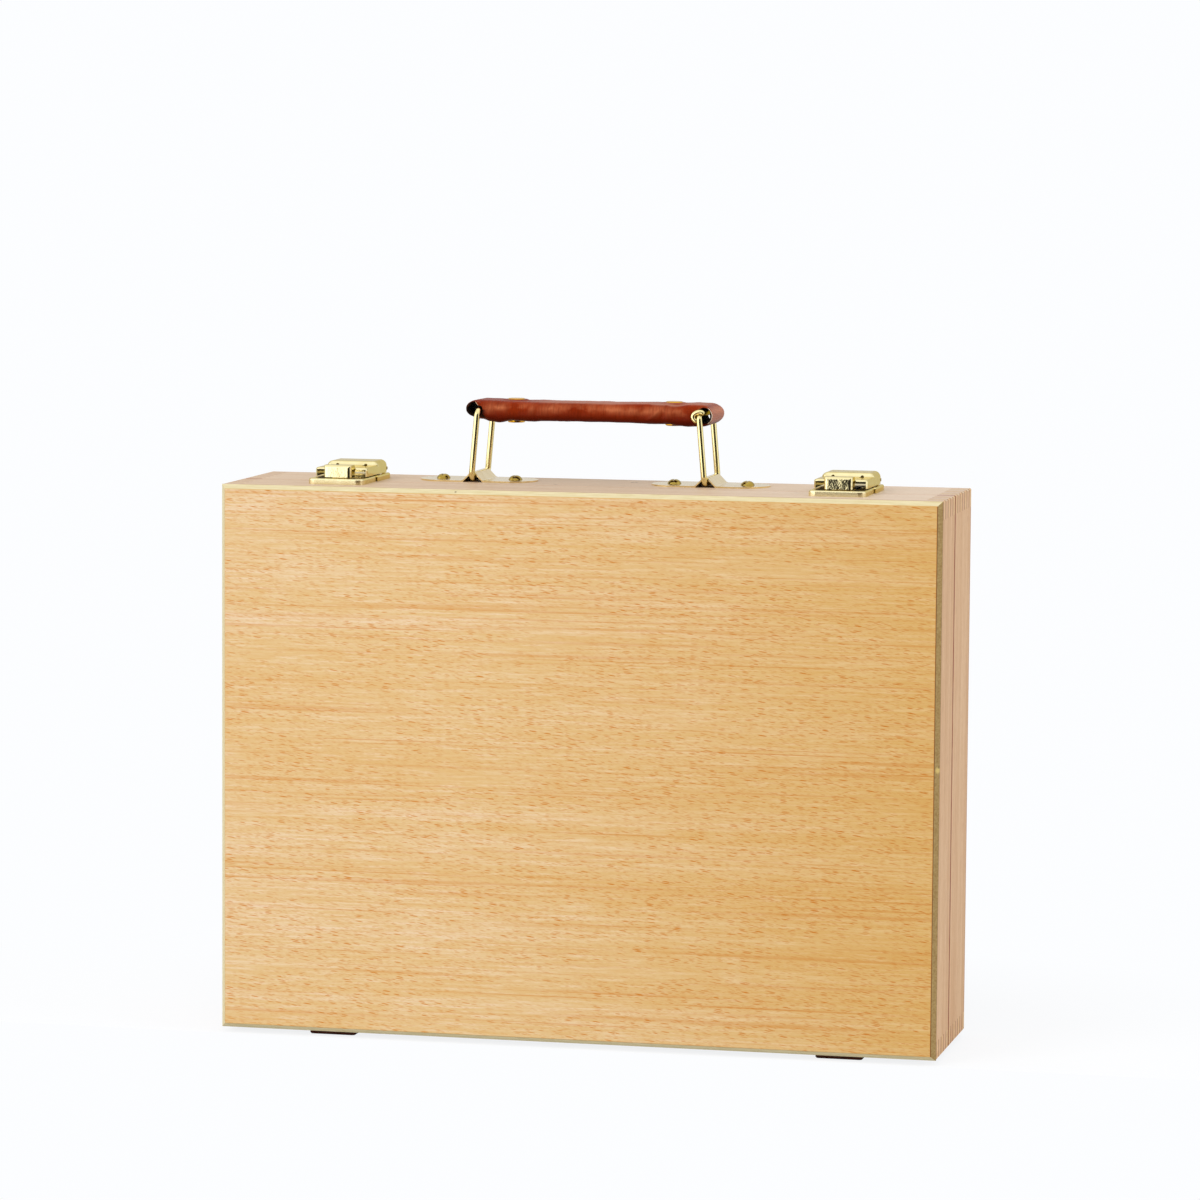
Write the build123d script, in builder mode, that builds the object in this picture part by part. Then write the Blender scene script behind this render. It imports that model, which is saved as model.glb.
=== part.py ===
from build123d import *
from math import atan2, cos, degrees, radians, sin
import os

# A wooden pochade box, closed and standing on its hinge side, with its handle up.
# X runs along the box, Y from the lid's face to the base's back, and Z is up.
# The origin lies under the middle of the box, on the ground that the feet stand on.

# ---------------------------------------------------------------- driving dimensions, in millimetres
# Case
BOX_LENGTH = 398.0          # along X
BOX_HEIGHT = 300.0          # along Z, without the feet
LID_FRAME = 41.0            # depth of the lid's boards
BASE_FRAME = 55.0           # depth of the base's boards
PART_GAP = 0.4              # between the closed halves, taken from the lid
BOARD = 10.0                # thickness of every board
LID_FINGERS = 5
BASE_FINGERS = 7
EDGE_BREAK = 0.6            # small bevel on the outer edges of the boards
LID_PLY = 4.0
PLY_BEVEL_WIDTH = 2.6       # bevel round the lid's face, seen from the front
PLY_BEVEL_DEPTH = 3.2       # and into the thickness of the ply
BASE_PLY = 4.0
REBATE = 5.0                # how far the base's ply lies on its boards

# Feet
FOOT_HEIGHT = 3.0
FOOT_LENGTH = 26.0
FOOT_WIDTH = 12.0
FOOT_CORNER = 2.0
FOOT_SETBACK = 10.0         # from the face of the case to a foot's near edge
FOOT_INSETS = (61.0, 54.0)  # from the case's left and right ends to the feet's middles

# Butt hinges, with leaves on the underside of both halves
HINGE_INSET = 104.0         # from the case's ends to the hinges' middles
HINGE_LENGTH = 38.0
HINGE_KNUCKLES = 5
KNUCKLE_RADIUS = 2.0
HINGE_PIN_RADIUS = 1.0
LEAF_WIDTH = 14.0           # from the pin's axis
LEAF_THICKNESS = 1.0
HINGE_SCREW_PITCH = 24.0

# Inside of the base
TROUGH_HEIGHT = 59.0        # brush trough beside the hinge side
DIVIDER = 5.0
DIVIDER_DEPTH = 32.0
CELLS = 3
DADO = 2.0                  # depth of the grooves that hold the cell dividers
LEDGE = 8.0
PALETTE_PLY = 4.0
PALETTE_CORNER = 6.0
PALETTE_PLAY = 0.5
THUMB_HOLE = (34.0, 25.0)
THUMB_HOLE_INSETS = (61.0, 105.0)   # from the base's right end and from its floor, inside

# Inside of the lid
STRIP = 10.0
STRIP_LIP = 3.0
STRIP_LIP_HEIGHT = 16.0
BUTTON_INSET = 99.0         # from the case's ends to the buttons' screws
BUTTON_LENGTH = 24.0
BUTTON_WIDTH = 9.0
BUTTON_THICKNESS = 1.6
BUTTON_SCREW_RADIUS = 1.5

# Folding lid stays: with the hinge, two equal bars make a rhombus on each side
STAY_REACH = 34.0           # hinge to pivots, and the length of each bar between its holes
STAY_BASE_ANGLE = 57.0      # of the base's pivot, seen from the hinge
STAY_LID_ANGLE = 98.0
STAY_WIDTH = 9.0
STAY_THICKNESS = 1.5
STAY_GAP = 0.2
STAY_PIN_RADIUS = 2.0
STAY_HEAD_RADIUS = 3.6
STAY_HEAD = 1.0
STAY_SPACER = 1.0
NUT_RADIUS = 7.0
NUT_THICKNESS = 5.0
NUT_FLUTES = 18
STUD_TIP = 1.0              # stud beyond the thumb nut

# Latches: a catch on the lid, and a sprung hasp that turns on a plate on the base
LATCH_INSET = 60.0          # from the case's ends to the latches' middles
CATCH_WIDTH = 31.2
LATCH_BASE_WIDTH = 33.0
LATCH_PLATE = 3.1
LATCH_PLATE_CORNER = 4.0
LATCH_PLATE_ROUND = 0.9
LATCH_GAP = 0.8             # from each plate to the parting line
CATCH_LENGTH = 27.2
LATCH_BASE_LENGTH = 28.7
CATCH_BAR_RADIUS = 2.4
CATCH_BAR_PLAY = 0.4        # from the bar's ends to the tongue's cheeks
CATCH_BAR_SETBACK = 9.6     # from the catch's front edge
CATCH_BAR_RISE = 5.7        # from the wood to the bar's middle
HASP_WIDTH = 29.5
HASP_SHEET = 1.0
HASP_LIFT = 0.5             # from the plates to the hasp's lower edge
HASP_SHOULDER = 8.4         # from the wood to the top of the shoulders
HASP_TOP = 10.5             # from the wood to the top of the hump
HASP_REACH = 15.8           # from the parting line to the shoulders' front
HASP_REAR = 28.2            # from the parting line to the hasp's rear
HUMP_FRONT = 5.5            # from the parting line to the hump's front
HASP_CORNER = 3.6
HASP_SHOULDER_CORNER = 2.5
HASP_CROWN = 3.5
HASP_SHOULDER_ROUND = 1.4
HASP_PIN_SETBACK = 2.2      # from the hasp's rear
HASP_PIN_RISE = 5.6
HASP_PIN_RADIUS = 0.9
HASP_WEB = 5.0              # from the pin to the web that stiffens the hasp inside
HASP_EAR = 1.0
HASP_EAR_INSET = 0.55       # from the hasp's inside to an ear
HASP_EAR_RADIUS = 1.9
TONGUE_WIDTH = 15.5
TONGUE_CORNER = 2.0         # where its face turns into its cheeks
TONGUE_SLIT = 0.6
TONGUE_RELIEF = 0.9         # radius of the holes that end the slits
TONGUE_ROOT = 7.5           # from the parting line to the ends of the slits
TONGUE_REACH = 23.3         # from the parting line to the tongue's turned-down face
TONGUE_TOP = 10.2
TONGUE_BEND = 1.6
TONGUE_LIP = 1.4            # how far the tongue's end turns in under the catch's bar
LATCH_SCREW_PITCH = 16.0
LATCH_SCREW_SETBACK = 9.0   # from the parting line to the catch's screws
LATCH_BASE_SCREWS = 12.0    # and to the base plate's screws

# Handle
HANDLE_X = -6.2
TUNNEL_SPACING = 130.8
HANDLE_PLATE_LENGTH = 66.0
HANDLE_PLATE_WIDTH = 32.0
HANDLE_PLATE_STRAIGHT = 42.0
HANDLE_SHEET = 0.8
HUMP_FOOT = 2.6             # radius where the hump leaves the plate
TUNNEL_HEIGHT = 5.6
TUNNEL_HALF_WIDTH = 6.6
HANDLE_SCREW_PITCH = 41.0
WIRE_RADIUS = 1.6
BAIL_HEIGHT = 37.6
BAIL_SPAN = 36.4
BAIL_CORNER = 3.4
BAIL_LEAN = 5.0             # degrees, towards the middle of the handle
BAIL_PIVOT_RISE = 2.4
TAIL_RADIUS = 1.3           # loose wire end that hooks over the right bail's top corner
TAIL_ROUTE = ((1.9, 1.1), (-1.2, 1.2), (-3.1, -0.3), (-2.0, -3.2))   # from the bar's middle
GRIP_THICKNESS = 11.4
GRIP_WIDTH = 32.0
GRIP_OVERHANG = 7.2         # from a bail's bar to the end of the grip
GRIP_ROUND = 4.6
GRIP_TUNNEL_RADIUS = 4.2
GRIP_TUNNEL_OUT = 2.2       # from the bar to the tunnel's centre
RIVET_INSET = 17.6          # from a bail's bar to the rivet beside it
RIVET_HEAD_RADIUS = 4.9
RIVET_HEAD = 0.9            # thickness of the upper heads
RIVET_FOOT = 1.6            # and of the lower ones
RIVET_SINK = 0.6            # how far the upper heads lie in the leather
RIVET_RADIUS = 2.0
LEATHER_PLAY = 0.3

# Screws and fits
SCREW_RADIUS = 1.4
SCREW_DEPTH = 8.0
COUNTERSUNK_RADIUS = 2.6
COUNTERSUNK_DEPTH = 1.0
DOME_HEAD_RADIUS = 3.9
DOME_HEAD_HEIGHT = 2.3
DOME_SLOT = (0.9, 0.8)      # width and depth
COUNTERSUNK_SLOT = (0.8, 0.5)
RUNNING = 0.05              # radial clearance of every pin that turns
END_PLAY = 0.15
HINGE_BED = 0.3             # clearance of the knuckles in the wood

# ---------------------------------------------------------------- places that follow from them
CASE_DEPTH = LID_PLY + LID_FRAME + BASE_FRAME
Y_FACE = -CASE_DEPTH / 2
Y_LID_PLY = Y_FACE + LID_PLY
Y_PART = Y_LID_PLY + LID_FRAME
Y_BACK = CASE_DEPTH / 2
NEAR = {"lid": Y_PART - PART_GAP, "base": Y_PART}
Y_BASE_PLY = Y_BACK - BASE_PLY
X_END = BOX_LENGTH / 2
X_IN = X_END - BOARD
FOOT_X = (-X_END + FOOT_INSETS[0], X_END - FOOT_INSETS[1])
HINGE_X = (-X_END + HINGE_INSET, X_END - HINGE_INSET)
CELL_DIVIDER_X = (-X_IN / CELLS, X_IN / CELLS)
BUTTON_X = (-X_END + BUTTON_INSET, X_END - BUTTON_INSET)
LATCH_X = (-X_END + LATCH_INSET, X_END - LATCH_INSET)
Z_LOW = FOOT_HEIGHT
Z_HIGH = Z_LOW + BOX_HEIGHT
Z_MID = (Z_LOW + Z_HIGH) / 2
Z_IN_LOW = Z_LOW + BOARD
Z_IN_HIGH = Z_HIGH - BOARD
THUMB_HOLE_PLACE = (X_IN - THUMB_HOLE_INSETS[0], Z_IN_LOW + THUMB_HOLE_INSETS[1])
HINGE_AXIS = (Y_PART, Z_LOW - LEAF_THICKNESS / 2)
Y_DIVIDER = Y_BASE_PLY - DIVIDER_DEPTH
Z_TROUGH = Z_IN_LOW + TROUGH_HEIGHT
SIDES = (("left", -1), ("right", 1))


def across(x):
    """Plane for a profile in Y and Z, extruded towards +X."""
    return Plane.YZ.offset(x)


def upright(y):
    """Plane for a profile in X and Z, extruded towards -Y."""
    return Plane.XZ.offset(-y)


def level(z):
    """Plane for a profile in X and Y, extruded towards +Z."""
    return Plane.XY.offset(z)


def save(piece, name):
    """Label a finished piece and write it to its own file."""
    piece.part.label = name
    export_step(piece.part, f"parts/{name}.step")


def lies_at(edge, axis, values):
    """True where the whole edge has one of these values on this axis."""
    points = [edge @ 0, edge @ 0.5, edge @ 1]
    return any(all(abs(getattr(point, axis) - value) < 0.01 for point in points) for value in values)


def on_outer_corner(edge):
    """True for an edge where two outer faces of the case's boards meet."""
    faces = (("X", (-X_END, X_END)), ("Y", (*NEAR.values(), Y_BACK)), ("Z", (Z_LOW, Z_HIGH)))
    return sum(lies_at(edge, axis, values) for axis, values in faces) > 1


# ---------------------------------------------------------------- screw places
def pair(middle, pitch):
    return (middle - pitch / 2, middle + pitch / 2)


HINGE_SCREW_Y = {
    "lid": Y_PART - (LEAF_WIDTH + KNUCKLE_RADIUS) / 2,
    "base": Y_PART + (LEAF_WIDTH + KNUCKLE_RADIUS) / 2,
}
HINGE_SCREW_X = [x for middle in HINGE_X for x in pair(middle, HINGE_SCREW_PITCH)]
LATCH_SCREW_Y = {"lid": Y_PART - LATCH_SCREW_SETBACK, "base": Y_PART + LATCH_BASE_SCREWS}
LATCH_SCREW_X = [x for middle in LATCH_X for x in pair(middle, LATCH_SCREW_PITCH)]
HANDLE_Y = (Y_PART + Y_BACK) / 2
TUNNEL_X = pair(HANDLE_X, TUNNEL_SPACING)
HANDLE_SCREW_X = [x for middle in TUNNEL_X for x in pair(middle, HANDLE_SCREW_PITCH)]


def from_hinge(angle):
    """Place in Y and Z of a stay's pivot, at an angle about the hinge."""
    turn = radians(angle)
    return (HINGE_AXIS[0] + STAY_REACH * cos(turn), HINGE_AXIS[1] + STAY_REACH * sin(turn))


STAY_PIVOT = from_hinge(STAY_BASE_ANGLE)
STAY_STUD = from_hinge(STAY_LID_ANGLE)
STAY_KNEE = (
    STAY_PIVOT[0] + STAY_STUD[0] - HINGE_AXIS[0],
    STAY_PIVOT[1] + STAY_STUD[1] - HINGE_AXIS[1],
)


# ---------------------------------------------------------------- case
def drill(plane, spots, radius, depth):
    """Blind holes, as deep as given along the plane's normal."""
    with BuildSketch(plane) as holes:
        with Locations(*spots):
            Circle(radius)
    extrude(holes.sketch, amount=depth, mode=Mode.SUBTRACT)


def long_board(half, far, fingers, low):
    """A board along X, notched at both ends for the side boards' fingers."""
    near = NEAR[half]
    pitch = (far - near) / fingers
    notches = [(side * (X_END - BOARD / 2), near + (step + 0.5) * pitch)
               for side in (-1, 1) for step in range(1, fingers, 2)]
    with BuildPart() as board:
        with BuildSketch(level(low)):
            with Locations((0, (near + far) / 2)):
                Rectangle(BOX_LENGTH, abs(far - near))
            with Locations(*notches):
                Rectangle(BOARD, abs(pitch), mode=Mode.SUBTRACT)
        extrude(amount=BOARD)
        chamfer(board.edges().filter_by(on_outer_corner), EDGE_BREAK)
        if half == "base":
            with BuildSketch(upright(Y_BACK)):
                with Locations((0, Z_MID)):
                    Rectangle(BOX_LENGTH - 2 * REBATE, BOX_HEIGHT - 2 * REBATE)
            extrude(amount=BASE_PLY, mode=Mode.SUBTRACT)
        if low == Z_LOW:
            for middle in HINGE_X:
                with BuildSketch(across(middle)):
                    with Locations(HINGE_AXIS):
                        Circle(KNUCKLE_RADIUS + HINGE_BED)
                extrude(amount=HINGE_LENGTH / 2 + HINGE_BED, both=True, mode=Mode.SUBTRACT)
            drill(level(Z_LOW), [(x, HINGE_SCREW_Y[half]) for x in HINGE_SCREW_X],
                  SCREW_RADIUS, SCREW_DEPTH)
        else:
            drill(level(Z_HIGH), [(x, LATCH_SCREW_Y[half]) for x in LATCH_SCREW_X],
                  SCREW_RADIUS, -SCREW_DEPTH)
            if half == "base":
                drill(level(Z_HIGH), [(x, HANDLE_Y) for x in HANDLE_SCREW_X],
                      SCREW_RADIUS, -SCREW_DEPTH)
    return board


def side_board(half, far, fingers, side):
    """An upright board at one end, with the fingers that the long boards leave free."""
    near = NEAR[half]
    pitch = (far - near) / fingers
    notches = [(near + (step + 0.5) * pitch, end)
               for end in (Z_LOW + BOARD / 2, Z_HIGH - BOARD / 2) for step in range(0, fingers, 2)]
    pivot = STAY_PIVOT if half == "base" else STAY_STUD
    with BuildPart() as board:
        with BuildSketch(across(side * X_END)):
            with Locations(((near + far) / 2, Z_MID)):
                Rectangle(abs(far - near), BOX_HEIGHT)
            with Locations(*notches):
                Rectangle(abs(pitch), BOARD, mode=Mode.SUBTRACT)
        extrude(amount=-side * BOARD)
        chamfer(board.edges().filter_by(on_outer_corner), EDGE_BREAK)
        if half == "base":
            with BuildSketch(upright(Y_BACK)):
                with Locations((0, Z_MID)):
                    Rectangle(BOX_LENGTH - 2 * REBATE, BOX_HEIGHT - 2 * REBATE)
            extrude(amount=BASE_PLY, mode=Mode.SUBTRACT)
        drill(across(side * X_IN), [pivot], SCREW_RADIUS, side * SCREW_DEPTH)
    return board


def case_half(half, far, fingers):
    """The four boards of one half of the case."""
    save(long_board(half, far, fingers, Z_IN_HIGH), f"{half}_latch_rail")
    save(long_board(half, far, fingers, Z_LOW), f"{half}_hinge_rail")
    for name, side in SIDES:
        save(side_board(half, far, fingers, side), f"{half}_side_{name}")


def lid_panel():
    """Ply face of the lid, with a bevel all round."""
    with BuildPart() as panel:
        for start, depth, taper in (
            (Y_LID_PLY, LID_PLY - PLY_BEVEL_DEPTH, 0),
            (Y_FACE + PLY_BEVEL_DEPTH, PLY_BEVEL_DEPTH, degrees(atan2(PLY_BEVEL_WIDTH, PLY_BEVEL_DEPTH))),
        ):
            with BuildSketch(upright(start)):
                with Locations((0, Z_MID)):
                    Rectangle(BOX_LENGTH, BOX_HEIGHT)
            extrude(amount=depth, taper=taper)
    save(panel, "lid_panel")


def base_panel():
    """Ply back of the base, let into a rebate and flush with the boards."""
    with BuildPart() as panel:
        with BuildSketch(upright(Y_BACK)):
            with Locations((0, Z_MID)):
                Rectangle(BOX_LENGTH - 2 * REBATE, BOX_HEIGHT - 2 * REBATE)
        extrude(amount=BASE_PLY)
    save(panel, "base_panel")


def feet():
    """Two pads under each half."""
    middles = {
        "lid": Y_LID_PLY + FOOT_SETBACK - LID_PLY + FOOT_WIDTH / 2,
        "base": Y_BACK - FOOT_SETBACK - FOOT_WIDTH / 2,
    }
    for half, middle in middles.items():
        with BuildPart() as pads:
            with BuildSketch(level(0)):
                with Locations(*[(x, middle) for x in FOOT_X]):
                    RectangleRounded(FOOT_LENGTH, FOOT_WIDTH, FOOT_CORNER)
            extrude(amount=FOOT_HEIGHT)
            chamfer(pads.edges().group_by(Axis.Z)[0], EDGE_BREAK)
        save(pads, f"{half}_feet")


# ---------------------------------------------------------------- fasteners
def countersunk_screw():
    """Flush screw with its head at the origin and its shank towards -Z."""
    with BuildPart() as screw:
        with BuildSketch(Plane.XZ):
            Polygon((0, 0), (COUNTERSUNK_RADIUS, 0), (SCREW_RADIUS, -COUNTERSUNK_DEPTH),
                    (SCREW_RADIUS, -SCREW_DEPTH), (0, -SCREW_DEPTH), align=None)
        revolve(axis=Axis.Z)
    return screw


def slotted(screw, top, slot):
    """The same screw with a straight slot across its head."""
    width, depth = slot
    with BuildPart() as finished:
        add(screw.part)
        with BuildSketch(level(top - depth)):
            Rectangle(width, 2 * DOME_HEAD_RADIUS)
        extrude(amount=2 * depth, mode=Mode.SUBTRACT)
    return finished


def dome_screw():
    """Round-headed screw, seated at the origin, with its shank towards -Z."""
    with BuildPart() as screw:
        with BuildSketch(Plane.XZ):
            with BuildLine():
                Polyline((DOME_HEAD_RADIUS, 0), (SCREW_RADIUS, 0), (SCREW_RADIUS, -SCREW_DEPTH),
                         (0, -SCREW_DEPTH), (0, DOME_HEAD_HEIGHT))
                ThreePointArc((0, DOME_HEAD_HEIGHT),
                              (DOME_HEAD_RADIUS * 0.72, DOME_HEAD_HEIGHT * 0.68), (DOME_HEAD_RADIUS, 0))
            make_face()
        revolve(axis=Axis.Z)
    return screw


def place(piece, spots, direction, name):
    """Copies of one fastener, as a group of separate solids."""
    with BuildPart() as group:
        with Locations(*[Plane(origin=spot, x_dir=(1, 0, 0), z_dir=direction) for spot in spots]):
            add(piece.part)
    save(group, name)


COUNTERSUNK = countersunk_screw()
SLOTTED_COUNTERSUNK = slotted(COUNTERSUNK, 0, COUNTERSUNK_SLOT)


# ---------------------------------------------------------------- hinges
def hinge_leaves(half):
    """One leaf of each hinge, with this half's share of the knuckles."""
    way = -1 if half == "lid" else 1
    first = 1 if half == "lid" else 0
    step = HINGE_LENGTH / HINGE_KNUCKLES
    inner = KNUCKLE_RADIUS + HINGE_BED
    with BuildPart() as leaves:
        for middle in HINGE_X:
            start = middle - HINGE_LENGTH / 2
            with BuildSketch(level(Z_LOW - LEAF_THICKNESS)):
                with Locations((middle, Y_PART + way * (inner + LEAF_WIDTH) / 2)):
                    Rectangle(HINGE_LENGTH, LEAF_WIDTH - inner)
            extrude(amount=LEAF_THICKNESS)
            for knuckle in range(first, HINGE_KNUCKLES, 2):
                with BuildSketch(across(start + knuckle * step + END_PLAY / 2)):
                    with Locations(HINGE_AXIS):
                        Circle(KNUCKLE_RADIUS)
                    with Locations((HINGE_AXIS[0] + way * inner / 2, HINGE_AXIS[1])):
                        Rectangle(inner, LEAF_THICKNESS)
                extrude(amount=step - END_PLAY)
            with BuildSketch(across(start)):
                with Locations(HINGE_AXIS):
                    Circle(HINGE_PIN_RADIUS + (RUNNING if half == "lid" else 0))
            extrude(amount=HINGE_LENGTH, mode=Mode.SUBTRACT)
        spots = [(x, HINGE_SCREW_Y[half], Z_LOW - LEAF_THICKNESS) for x in HINGE_SCREW_X]
        with Locations(*[Plane(origin=spot, x_dir=(1, 0, 0), z_dir=(0, 0, -1)) for spot in spots]):
            add(COUNTERSUNK.part, mode=Mode.SUBTRACT)
    save(leaves, f"hinge_leaves_{half}")
    place(SLOTTED_COUNTERSUNK, spots, (0, 0, -1), f"hinge_screws_{half}")


def hinge_pins():
    with BuildPart() as pins:
        for middle in HINGE_X:
            with BuildSketch(across(middle)):
                with Locations(HINGE_AXIS):
                    Circle(HINGE_PIN_RADIUS)
            extrude(amount=HINGE_LENGTH / 2, both=True)
    save(pins, "hinge_pins")


# ---------------------------------------------------------------- inside of the base
def dividers():
    """One board along the base, and two that part the space behind it into cells."""
    with BuildPart() as trough_wall:
        with BuildSketch(level(Z_TROUGH)):
            with Locations((0, (Y_DIVIDER + Y_BASE_PLY) / 2)):
                Rectangle(2 * X_IN, DIVIDER_DEPTH)
        extrude(amount=DIVIDER)
        with BuildSketch(level(Z_TROUGH + DIVIDER)):
            with Locations(*[(x, (Y_DIVIDER + Y_BASE_PLY) / 2) for x in CELL_DIVIDER_X]):
                Rectangle(DIVIDER, DIVIDER_DEPTH)
        extrude(amount=-DADO, mode=Mode.SUBTRACT)
    save(trough_wall, "trough_divider")
    for (name, _), x in zip(SIDES, CELL_DIVIDER_X):
        with BuildPart() as cell_wall:
            with BuildSketch(level(Z_TROUGH + DIVIDER - DADO)):
                with Locations((x, (Y_DIVIDER + Y_BASE_PLY) / 2)):
                    Rectangle(DIVIDER, DIVIDER_DEPTH)
            extrude(amount=Z_IN_HIGH - Z_TROUGH - DIVIDER + DADO)
        save(cell_wall, f"cell_divider_{name}")


def ledges():
    """Strips on the side boards that the palette lies on."""
    for name, side in SIDES:
        with BuildPart() as ledge:
            with BuildSketch(level(Z_TROUGH + DIVIDER)):
                with Locations((side * (X_IN - LEDGE / 2), Y_DIVIDER + LEDGE / 2)):
                    Rectangle(LEDGE, LEDGE)
            extrude(amount=Z_IN_HIGH - Z_TROUGH - DIVIDER)
        save(ledge, f"palette_ledge_{name}")


def palette():
    """Mixing board with a thumb hole."""
    low = Z_TROUGH + PALETTE_PLAY
    high = Z_IN_HIGH - PALETTE_PLAY
    with BuildPart() as board:
        with BuildSketch(upright(Y_DIVIDER)):
            with Locations((0, (low + high) / 2)):
                RectangleRounded(2 * (X_IN - PALETTE_PLAY), high - low, PALETTE_CORNER)
            with Locations(THUMB_HOLE_PLACE):
                Ellipse(THUMB_HOLE[0] / 2, THUMB_HOLE[1] / 2, rotation=25, mode=Mode.SUBTRACT)
        extrude(amount=PALETTE_PLY)
        chamfer(board.faces().sort_by(Axis.Y)[0].edges(), EDGE_BREAK)
    save(board, "palette")


# ---------------------------------------------------------------- inside of the lid
def panel_strips():
    """Strips that hold a painting panel: a lipped one below and a plain one above."""
    with BuildPart() as lower:
        with BuildSketch(across(-X_IN)):
            with Locations((Y_LID_PLY, Z_IN_LOW)):
                Rectangle(STRIP, STRIP, align=(Align.MIN, Align.MIN))
            with Locations((Y_LID_PLY + STRIP, Z_IN_LOW)):
                Rectangle(STRIP_LIP, STRIP_LIP_HEIGHT, align=(Align.MIN, Align.MIN))
        extrude(amount=2 * X_IN)
    save(lower, "panel_strip_lower")
    with BuildPart() as upper:
        with BuildSketch(across(-X_IN)):
            with Locations((Y_LID_PLY, Z_IN_HIGH)):
                Rectangle(STRIP, STRIP, align=(Align.MIN, Align.MAX))
        extrude(amount=2 * X_IN)
        drill(upright(Y_LID_PLY + STRIP), [(x, Z_IN_HIGH - STRIP / 2) for x in BUTTON_X],
              BUTTON_SCREW_RADIUS, SCREW_DEPTH)
    save(upper, "panel_strip_upper")


def turn_buttons():
    """Brass buttons that turn on a screw, to hold or free a painting panel."""
    face = Y_LID_PLY + STRIP
    pivot_z = Z_IN_HIGH - STRIP / 2
    for (name, _), x in zip(SIDES, BUTTON_X):
        with BuildPart() as button:
            with BuildSketch(upright(face + END_PLAY + BUTTON_THICKNESS)):
                with Locations((x, pivot_z - BUTTON_LENGTH / 2 + BUTTON_WIDTH / 2)):
                    SlotOverall(BUTTON_LENGTH, BUTTON_WIDTH, rotation=90)
                with Locations((x, pivot_z)):
                    Circle(BUTTON_SCREW_RADIUS + RUNNING, mode=Mode.SUBTRACT)
            extrude(amount=BUTTON_THICKNESS)
        save(button, f"turn_button_{name}")
    with BuildPart() as screws:
        for x in BUTTON_X:
            with BuildSketch(upright(face + 2 * END_PLAY + BUTTON_THICKNESS)):
                with Locations((x, pivot_z)):
                    Circle(BUTTON_SCREW_RADIUS)
            extrude(amount=2 * END_PLAY + BUTTON_THICKNESS + SCREW_DEPTH)
            with BuildSketch(upright(face + 2 * END_PLAY + BUTTON_THICKNESS)):
                with Locations((x, pivot_z)):
                    Circle(COUNTERSUNK_RADIUS)
            extrude(amount=-STAY_HEAD)
        chamfer(screws.edges().group_by(Axis.Y)[-1], STAY_HEAD * 0.5)
    save(screws, "turn_button_screws")


# ---------------------------------------------------------------- folding stays
def turned(side, spot, steps):
    """Discs on one axis along X, each from one distance off the side board to the next."""
    for start, end, radius in steps:
        with BuildSketch(across(side * (X_IN - start))) as disc:
            with Locations(spot):
                Circle(radius)
        extrude(disc.sketch, amount=-side * (end - start))


def stay_bar(side, start, ends, name, holes):
    """Flat bar with round ends, between two places in Y and Z."""
    middle = ((ends[0][0] + ends[1][0]) / 2, (ends[0][1] + ends[1][1]) / 2)
    slope = degrees(atan2(ends[1][1] - ends[0][1], ends[1][0] - ends[0][0]))
    with BuildPart() as bar:
        with BuildSketch(across(side * (X_IN - start))):
            with Locations(middle):
                SlotCenterToCenter(STAY_REACH, STAY_WIDTH, rotation=slope)
            for spot, radius in zip(ends, holes):
                with Locations(spot):
                    Circle(radius, mode=Mode.SUBTRACT)
        extrude(amount=-side * STAY_THICKNESS)
    save(bar, name)


def stays():
    """On each side two bars, their pivots, and a thumb nut that clamps the lid's bar."""
    arm_start = STAY_SPACER + STAY_GAP
    arm_end = arm_start + STAY_THICKNESS
    link_start = arm_end + STAY_GAP
    link_end = link_start + STAY_THICKNESS
    running = STAY_PIN_RADIUS + RUNNING
    for name, side in SIDES:
        stay_bar(side, arm_start, (STAY_PIVOT, STAY_KNEE), f"stay_arm_{name}",
                 (running, STAY_PIN_RADIUS))
        stay_bar(side, link_start, (STAY_KNEE, STAY_STUD), f"stay_link_{name}", (running, running))
        with BuildPart() as pivot:
            turned(side, STAY_PIVOT, (
                (-SCREW_DEPTH, 0, SCREW_RADIUS),
                (0, STAY_SPACER, STAY_HEAD_RADIUS + STAY_HEAD),
                (STAY_SPACER, arm_end + STAY_GAP, STAY_PIN_RADIUS),
                (arm_end + STAY_GAP, arm_end + STAY_GAP + STAY_HEAD, STAY_HEAD_RADIUS),
            ))
        save(pivot, f"stay_pivot_{name}")
        with BuildPart() as rivet:
            turned(side, STAY_KNEE, (
                (arm_start - STAY_HEAD * 0.8, arm_start, STAY_HEAD_RADIUS * 0.8),
                (arm_start, link_end + STAY_GAP, STAY_PIN_RADIUS),
                (link_end + STAY_GAP, link_end + STAY_GAP + STAY_HEAD, STAY_HEAD_RADIUS),
            ))
        save(rivet, f"stay_rivet_{name}")
        nut_start = link_end + STAY_GAP
        with BuildPart() as stud:
            turned(side, STAY_STUD, (
                (-SCREW_DEPTH, 0, SCREW_RADIUS),
                (0, link_start - STAY_GAP, STAY_HEAD_RADIUS + STAY_HEAD),
                (link_start - STAY_GAP, nut_start + NUT_THICKNESS + STUD_TIP, STAY_PIN_RADIUS),
            ))
        save(stud, f"stay_stud_{name}")
        with BuildPart() as nut:
            with BuildSketch(across(side * (X_IN - nut_start))):
                with Locations(STAY_STUD):
                    Circle(NUT_RADIUS)
                    with PolarLocations(NUT_RADIUS, NUT_FLUTES):
                        Circle(NUT_RADIUS * 0.07, mode=Mode.SUBTRACT)
                    Circle(running, mode=Mode.SUBTRACT)
            extrude(amount=-side * NUT_THICKNESS)
        save(nut, f"thumb_nut_{name}")


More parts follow.
